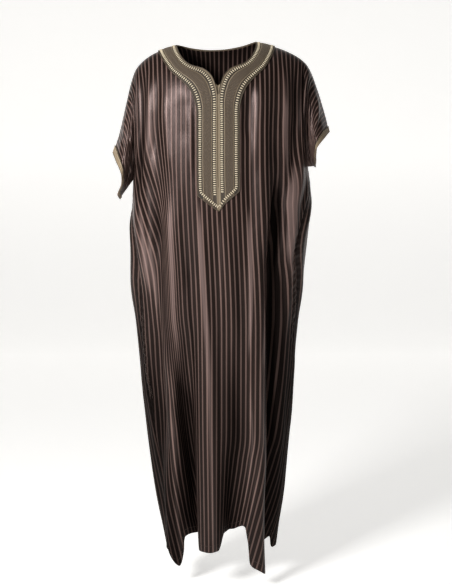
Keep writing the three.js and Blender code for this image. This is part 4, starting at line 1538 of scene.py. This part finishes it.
@dataclass
class CuffBand:
    """The braid band round a cuff, with a cord along each edge."""

    sleeve: ShortSleeve
    width: float = 17.0
    gap: float = 0.5
    wall: float = 1.3
    cells: int = 14
    over: float = 0.6
    swell: float = 0.45
    swell_power: float = 0.6
    cord: float = 0.9
    cord_lift: float = 0.3
    cord_pitch: float = 3.0
    cord_insets: tuple[float, float] = (1.0, 16.6)

    def build(self, wardrobe: Wardrobe) -> list[bpy.types.Object]:
        """Return the band and its cords, dressed."""
        form = self.sleeve.form
        side = self.sleeve.side.name.lower()
        start = form.cut.sleeve_half - self.width
        reach = np.linspace(start, form.cut.sleeve_half + self.over, self.cells + 1)
        across = reach - reach[0]
        relief = self.swell * np.sin(math.pi * clamp01(across / self.width)) ** self.swell_power
        outer, _, _, w = self.sleeve.ring(reach, (self.gap + self.wall + relief)[None, :])
        inner, _, _, _ = self.sleeve.ring(reach, self.gap)
        rounds = np.linalg.norm(np.diff(outer, axis=0, append=outer[:1]), axis=-1).mean(axis=1)
        along = run_along(rounds[:-1])
        uv = np.stack(np.broadcast_arrays(across[None, :], along[:, None]), axis=-1)
        band = shell_piece(f"cuff_braid_{side}", outer, inner, uv, wrapped=True,
                           flip=self.sleeve.side is Side.LEFT)
        pieces = [wardrobe.settle(band, wardrobe.cuff, "embroidered_band", [f"cuff_band_{side}"])]
        top = self.gap + self.wall + self.cord_lift
        for label, inset in zip(("inner", "outer"), self.cord_insets):
            points, out, _, _ = self.sleeve.ring(start + inset + np.array([-1.0, 0.0]), top)
            cord = tube_piece(f"cuff_cord_{label}_{side}", points[:, 1], out[:, 1], self.cord, self.cord,
                              closed=True, pitch=self.cord_pitch)
            pieces.append(wardrobe.settle(cord, wardrobe.piping, "embroidered_band"))
        log.info("cuff %s is %.0f mm round", side, along[-1])
        return pieces


@dataclass
class NeckBand:
    """A neck band of plaited braid cloth with ladder braid sewn along both its edges."""

    form: ClothForm
    facing: Facing
    width: float = 53.0
    gap: float = 0.5
    wall: float = 1.3
    steps: int = 236
    cells: int = 44
    slit_end: float = 440.0
    ladder_inner: float = 0.16
    ladder_outer: float = 0.84
    ladder_end: float = 453.0
    ladder_inside: float = 20.0
    ladder_point: tuple[tuple[float, float], ...] = ((44.0, 448.0), (3.0, 485.0))
    ladder_back_row: float = 0.12
    ladder_rows: tuple[float, float, int] = (0.1, 13.0, 260)
    relief_rows: tuple[tuple[float, float, float], ...] = (
        (-0.9, 0.0, 1.1), (-0.35, 8.48, 3.2), (-0.45, 14.0, 1.1), (0.35, 16.2, 0.8))
    plait_high: float = 0.3
    plait_from: float = 16.5
    plait_soft: float = 1.5
    slit_closing: float = 8.0
    slit_gap: float = 0.3
    slit_least: float = 0.02
    slit_row: float = 8.5
    rung_pitch: float = 5.6
    rung_long: float = 3.5
    rung_wide: float = 1.35
    rung_high: float = 0.8
    rung_sink: float = 0.1
    rail: float = 0.5
    rail_gap: float = 0.3
    rail_lift: float = 0.1
    rail_pitch: float = 2.0
    piping: float = 1.25
    piping_lift: float = 0.2
    piping_pitch: float = 3.4
    piping_back_inner: float = 0.015
    piping_inner: float = 0.02
    piping_outer: float = 0.985
    piping_inner_rows: tuple[float, float, int] = (0.0, 9.0, 200)
    piping_outer_rows: tuple[float, float, int] = (0.0, 14.0, 300)
    piping_point: tuple[float, float] = (1.0, 496.5)
    cord_step: float = 2.2

    @property
    def rows(self) -> Profile:
        """Return the band's edges."""
        return FRONT_BAND if self.facing is Facing.FRONT else BACK_BAND

    def spot(self, row: Array, across: Array) -> tuple[Array, Array]:
        """Return the cloth place at a row of the band's table and a share of its width."""
        rows = self.rows
        u = mix(rows.at("in_u", row), rows.at("out_u", row), across)
        w = mix(rows.at("in_w", row), rows.at("out_w", row), across)
        return u, w

    def relief(self, across: Array) -> Array:
        """Return how far the band's face stands off its mean at a distance across it."""
        edge = np.minimum(across, self.width - across)
        bumps = sum(high * bell(edge - place, wide) for high, place, wide in self.relief_rows)
        return bumps + self.plait_high * smooth((edge - self.plait_from) / self.plait_soft)

    def even_rows(self) -> Array:
        """Return rows of the band's table that are evenly spaced along its middle."""
        fine = np.linspace(0.0, self.rows.rows[-1][0], 900)
        u, w = self.spot(fine, np.full_like(fine, 0.5))
        run = run_along(np.hypot(np.diff(u), np.diff(w)))
        return np.interp(np.linspace(0.0, run[-1], self.steps + 1), run, fine)

    def build(self, wardrobe: Wardrobe) -> list[bpy.types.Object]:
        """Return the band, its ladders, rails and piping, dressed."""
        side = self.facing.name.lower()
        row = self.even_rows()
        share = np.linspace(0.0, 1.0, self.cells + 1)
        rows, shares = np.meshgrid(row, share, indexing="ij")
        u, w = self.spot(rows, shares)
        across = shares * self.width
        steps = np.hypot(np.diff(u[:, self.cells // 2]), np.diff(w[:, self.cells // 2]))
        run = run_along(steps)[:, None] + np.zeros_like(u)
        if self.facing is Facing.FRONT:
            closing = smooth((w - self.slit_end + self.slit_closing) / self.slit_closing)
            gap = self.slit_gap * (1.0 - closing) + self.slit_least
            u = np.where(shares == 0, np.maximum(gap, u * (rows < self.slit_row)), u)
            u = np.concatenate([-u[:, ::-1], u], axis=1)
            w, across, run = (np.concatenate([part[:, ::-1], part], axis=1) for part in (w, across, run))
            live = np.ones((len(row) - 1, u.shape[1] - 1), dtype=bool)
            live[:, self.cells] = w[1:, self.cells] > self.slit_end
        else:
            u = np.concatenate([-u[:-1], u[::-1]])
            w, across = (np.concatenate([part[:-1], part[::-1]]) for part in (w, across))
            run = np.concatenate([run[:-1], 2 * run[-1] - run[::-1]])
            live = None
        outer = self.form.place(self.facing, u, w, self.gap + self.wall + self.relief(across))
        inner = self.form.place(self.facing, u, w, self.gap)
        uv = np.stack([across, run], axis=-1)
        # Where the painted shadow under the inner ladder may fall: not past the ladder's end
        laddered = np.where((w > self.ladder_end) & (across < self.ladder_inside), 0.0, 1.0)
        band = shell_piece(f"neck_band_{side}", outer, inner, uv, live, painted_light=laddered)
        pieces = [wardrobe.settle(band, wardrobe.band, "embroidered_band", [f"{side}_band"])]
        for name, line, nodes in self.ladder_lines():
            pieces.extend(self.ladder(wardrobe, name, line, nodes))
        for name, line in self.piping_lines():
            pieces.append(self.cord(wardrobe, f"piping_{name}", line, self.piping,
                                    self.piping_lift, self.piping_pitch))
        return pieces

    def path(self, rows: Array, across: Array, side: float) -> Array:
        """Return cloth places along the band."""
        u, w = self.spot(rows, across)
        return np.stack([side * u, w], axis=1)

    def round_neck(self, first: float, across: float) -> Array:
        """Return a line round the back of the neck, from one shoulder to the other."""
        rows = np.linspace(first, self.rows.rows[-1][0], 120)
        left = self.path(rows, np.full_like(rows, across), -1.0)
        return np.concatenate([left[:-1], left[::-1] * (-1.0, 1.0)])

    def down_front(self, first: float, last: float, count: int, across: float, side: Side) -> Array:
        """Return a line from a shoulder down one side of the front."""
        rows = np.linspace(first, last, count)
        return self.path(rows, np.full_like(rows, across), side.value)

    def ladder_lines(self) -> list[tuple[str, Array, list[str]]]:
        """Return the path of each ladder with the solids that it stands for."""
        if self.facing is Facing.BACK:
            return [("back_inner", self.round_neck(self.ladder_back_row, self.ladder_inner), []),
                    ("back_outer", self.round_neck(self.ladder_back_row, self.ladder_outer), [])]
        lines = []
        for side in Side:
            label = side.name.lower()
            inner = self.down_front(*self.ladder_rows, self.ladder_inner, side)
            inner = inner[inner[:, 1] < self.ladder_end]
            outer = self.down_front(*self.ladder_rows, self.ladder_outer, side)
            outer = np.concatenate([outer, np.array(self.ladder_point) * (side.value, 1.0)])
            lines.append((f"inner_{label}", inner, [f"braid_inner_{label}"]))
            lines.append((f"outer_{label}", outer, [f"braid_outer_{label}"]))
        return lines

    def piping_lines(self) -> list[tuple[str, Array]]:
        """Return the path of each cord along the band's edges."""
        if self.facing is Facing.BACK:
            return [("back_inner", self.round_neck(0.0, self.piping_back_inner)),
                    ("back_outer", self.round_neck(0.0, self.piping_outer))]
        lines = []
        for side in Side:
            label = side.name.lower()
            inner = self.down_front(*self.piping_inner_rows, self.piping_inner, side)
            outer = self.down_front(*self.piping_outer_rows, self.piping_outer, side)
            point = np.array([self.piping_point]) * (side.value, 1.0)
            lines.append((f"inner_{label}", inner))
            lines.append((f"outer_{label}", np.concatenate([outer, point])))
        return lines

    def cord(self, wardrobe: Wardrobe, name: str, line: Array, size: float, lift: float,
             pitch: float) -> bpy.types.Object:
        """Return a cord laid along cloth places."""
        spots = polyline(line, self.cord_step)
        points, out = self.form.follow(self.facing, spots, self.gap + self.wall + lift)
        piece = tube_piece(name, points, out, size, size, sides=7, pitch=pitch)
        return wardrobe.settle(piece, wardrobe.piping, "embroidered_band")

    def ladder(self, wardrobe: Wardrobe, name: str, line: Array,
               nodes: Sequence[str]) -> list[bpy.types.Object]:
        """Return a ladder braid: rungs across the line, and a rail along each of their ends."""
        spots = polyline(line, self.rung_pitch)
        top = self.gap + self.wall - self.rung_sink
        points, out = self.form.follow(self.facing, spots, top + 0.5 * self.rung_high)
        ahead = unit(np.gradient(points, axis=0))
        rungs = bar_piece(f"ladder_rungs_{name}", points, np.cross(ahead, out), out,
                          self.rung_long, self.rung_wide, self.rung_high)
        pieces = [wardrobe.settle(rungs, wardrobe.cream, "cream_braid", nodes)]
        fine = polyline(line, self.cord_step)
        turn = np.gradient(fine, axis=0)
        aside = np.stack([turn[:, 1], -turn[:, 0]], axis=1)
        aside /= np.linalg.norm(aside, axis=1, keepdims=True)
        for edge, way in (("a", -1.0), ("b", 1.0)):
            rail = fine + way * (self.rung_long + self.rail_gap) * aside
            pieces.append(self.cord(wardrobe, f"ladder_rail_{name}_{edge}", rail, self.rail,
                                    self.rail_lift, self.rail_pitch))
        return pieces


@dataclass
class Sewing:
    """The stitches of the hem and the pocket mouths, and the rolled pocket edges."""

    form: ClothForm
    pitch: float = 4.6
    long: float = 1.6
    thick: float = 0.34
    lift: float = 0.15
    hem_up: float = 18.0
    hem_inset: float = 4.0
    pocket_more: float = 14.0
    pocket_insets: tuple[float, float] = (3.5, 7.5)
    edge_inset: float = 1.0
    edge_step: float = 3.0
    edge_lift: float = 0.1
    edge_thick: float = 1.3

    def row(self, wardrobe: Wardrobe, name: str, facing: Facing, line: Array) -> bpy.types.Object:
        """Return a row of stitches along cloth places."""
        spots = polyline(line, self.pitch)
        points, out = self.form.follow(facing, spots, self.lift)
        ahead = np.gradient(points, axis=0)
        piece = bar_piece(name, points, ahead, out, self.long, self.thick, self.thick, sides=6)
        return wardrobe.settle(piece, wardrobe.thread, "striped_satin")

    def build(self, wardrobe: Wardrobe) -> dict[Facing, list[bpy.types.Object]]:
        """Return the stitches on the front and on the back, dressed."""
        cut = self.form.cut
        made: dict[Facing, list[bpy.types.Object]] = {Facing.FRONT: [], Facing.BACK: []}
        for facing in Facing:
            label = facing.name.lower()
            reach = cut.hem_half - self.hem_inset
            u = np.linspace(-reach, reach, 90)
            line = np.stack([u, np.full_like(u, cut.length - self.hem_up)], axis=1)
            made[facing].append(self.row(wardrobe, f"hem_stitches_{label}", facing, line))
        for pocket in POCKETS:
            label = pocket.side.name.lower()
            w = np.linspace(pocket.top - self.pocket_more, pocket.bottom + self.pocket_more, 60)
            for inset in self.pocket_insets:
                line = np.stack([pocket.side.value * (self.form.body_half(w) - inset), w], axis=1)
                name = f"pocket_stitches_{label}_{int(inset)}"
                made[Facing.FRONT].append(self.row(wardrobe, name, Facing.FRONT, line))
            edge = np.stack([pocket.side.value * (self.form.body_half(w) - self.edge_inset), w], axis=1)
            spots = polyline(edge, self.edge_step)
            points, out = self.form.follow(Facing.FRONT, spots, self.edge_lift)
            roll = tube_piece(f"pocket_edge_{label}", points, out, self.edge_thick, self.edge_thick)
            made[Facing.FRONT].append(wardrobe.settle(roll, wardrobe.satin, "striped_satin"))
        return made


# The studio

# Name, place, target, side and power of each light
LIGHTS = (
    ("key", (-1.5, -2.1, 0.55), (-0.02, 0.0, -0.36), 0.6, 84.0),
    ("fill", (1.7, -2.6, 0.2), (0.0, 0.0, -0.5), 1.2, 1.0),
    ("top", (0.0, 0.5, 1.9), (0.0, 0.2, -0.4), 1.4, 9.0),
)


@dataclass
class Studio:
    """The camera, the soft lights, the pale floor and the backdrop."""

    floor_z: float = -1.43
    eye: tuple[float, float, float] = (0.025, -3.1, -0.32)
    target: tuple[float, float, float] = (0.025, 0.0, -0.649)
    lens: float = 72.2
    sensor: float = 36.0
    far: float = 50.0
    room_light: float = 0.05
    bend: float = 1.2
    back: float = 5.0
    nearest: float = -6.0
    half_wide: float = 6.0
    highest: float = 4.0
    bend_steps: int = 24

    @staticmethod
    def aim(thing: bpy.types.Object, target: Sequence[float]) -> None:
        """Turn a camera or a light to face a place."""
        way = Vector(target) - thing.location
        thing.rotation_euler = way.to_track_quat("-Z", "Y").to_euler()

    def light(self, name: str, place: Sequence[float], target: Sequence[float], size: float,
              power: float) -> None:
        """Add a soft square light.

        Args:
            name: The light's name.
            place: Where it stands.
            target: Where it shines.
            size: The length of its side.
            power: Its power in watts.
        """
        lamp = bpy.data.lights.new(name, "AREA")
        lamp.size = size
        lamp.energy = power
        thing = bpy.data.objects.new(name, lamp)
        thing.location = place
        bpy.context.collection.objects.link(thing)
        self.aim(thing, target)

    def build(self, wardrobe: Wardrobe) -> None:
        """Place the camera, the lights and the stage."""
        data = bpy.data.cameras.new("camera")
        data.lens = self.lens
        data.sensor_width = self.sensor
        data.clip_end = self.far
        camera = bpy.data.objects.new("camera", data)
        camera.location = self.eye
        bpy.context.collection.objects.link(camera)
        self.aim(camera, self.target)
        bpy.context.scene.camera = camera
        for row in LIGHTS:
            self.light(*row)
        world = bpy.data.worlds.new("soft_room")
        world.use_nodes = True
        sky = world.node_tree.nodes["Background"]
        sky.inputs["Color"].default_value = (1.0, 1.0, 1.0, 1.0)
        sky.inputs["Strength"].default_value = self.room_light
        bpy.context.scene.world = world
        bpy.context.scene.view_settings.view_transform = "Standard"
        self.sweep(wardrobe)

    def sweep(self, wardrobe: Wardrobe) -> None:
        """Make the floor that curves up into the backdrop."""
        angle = np.arange(1, self.bend_steps + 1) / self.bend_steps * math.pi / 2
        foot = self.back - self.bend
        y = np.concatenate([[self.nearest, foot], foot + self.bend * np.sin(angle), [self.back]])
        curve = self.floor_z + self.bend * (1.0 - np.cos(angle))
        z = np.concatenate([[self.floor_z, self.floor_z], curve, [self.highest]])
        x = np.linspace(-self.half_wide, self.half_wide, 5)
        grid = np.stack(np.broadcast_arrays(x[None, :], y[:, None], z[:, None]), axis=-1)
        rows, cols = grid.shape[:2]
        i, j = np.meshgrid(np.arange(rows - 1), np.arange(cols - 1), indexing="ij")
        i = i.ravel()
        j = j.ravel()
        faces = quads(i, j, i + 1, j + 1, cols)[:, [0, 3, 2, 1]]
        floor = mesh_piece("pale_sweep", grid.reshape(-1, 3) / MM, faces, grid.reshape(-1, 3)[:, :2] / MM)
        floor.data.materials.append(wardrobe.studio)


@dataclass
class Djellaba:
    """The whole garment."""

    form: ClothForm
    wardrobe: Wardrobe

    def build(self) -> None:
        front = BodyPanel(self.form, Facing.FRONT)
        back = BodyPanel(self.form, Facing.BACK)
        panels = {Facing.FRONT: front.build(self.wardrobe), Facing.BACK: back.build(self.wardrobe)}
        sewn = Sewing(self.form).build(self.wardrobe)
        for panel in (front, back):
            trims = NeckBand(self.form, panel.facing).build(self.wardrobe)
            panel.flat_area()
        for side in Side:
            sleeve = ShortSleeve(self.form, side)
            cloth = sleeve.build(self.wardrobe)
            trims = CuffBand(sleeve).build(self.wardrobe)
            sleeve.flat_area()


def main() -> None:
    """Build the scene."""
    logging.basicConfig(level=logging.INFO, format="%(name)s: %(message)s")
    wardrobe = Wardrobe(Effects())
    Studio().build(wardrobe)
    Djellaba(ClothForm(), wardrobe).build()


if __name__ == "__main__":
    main()
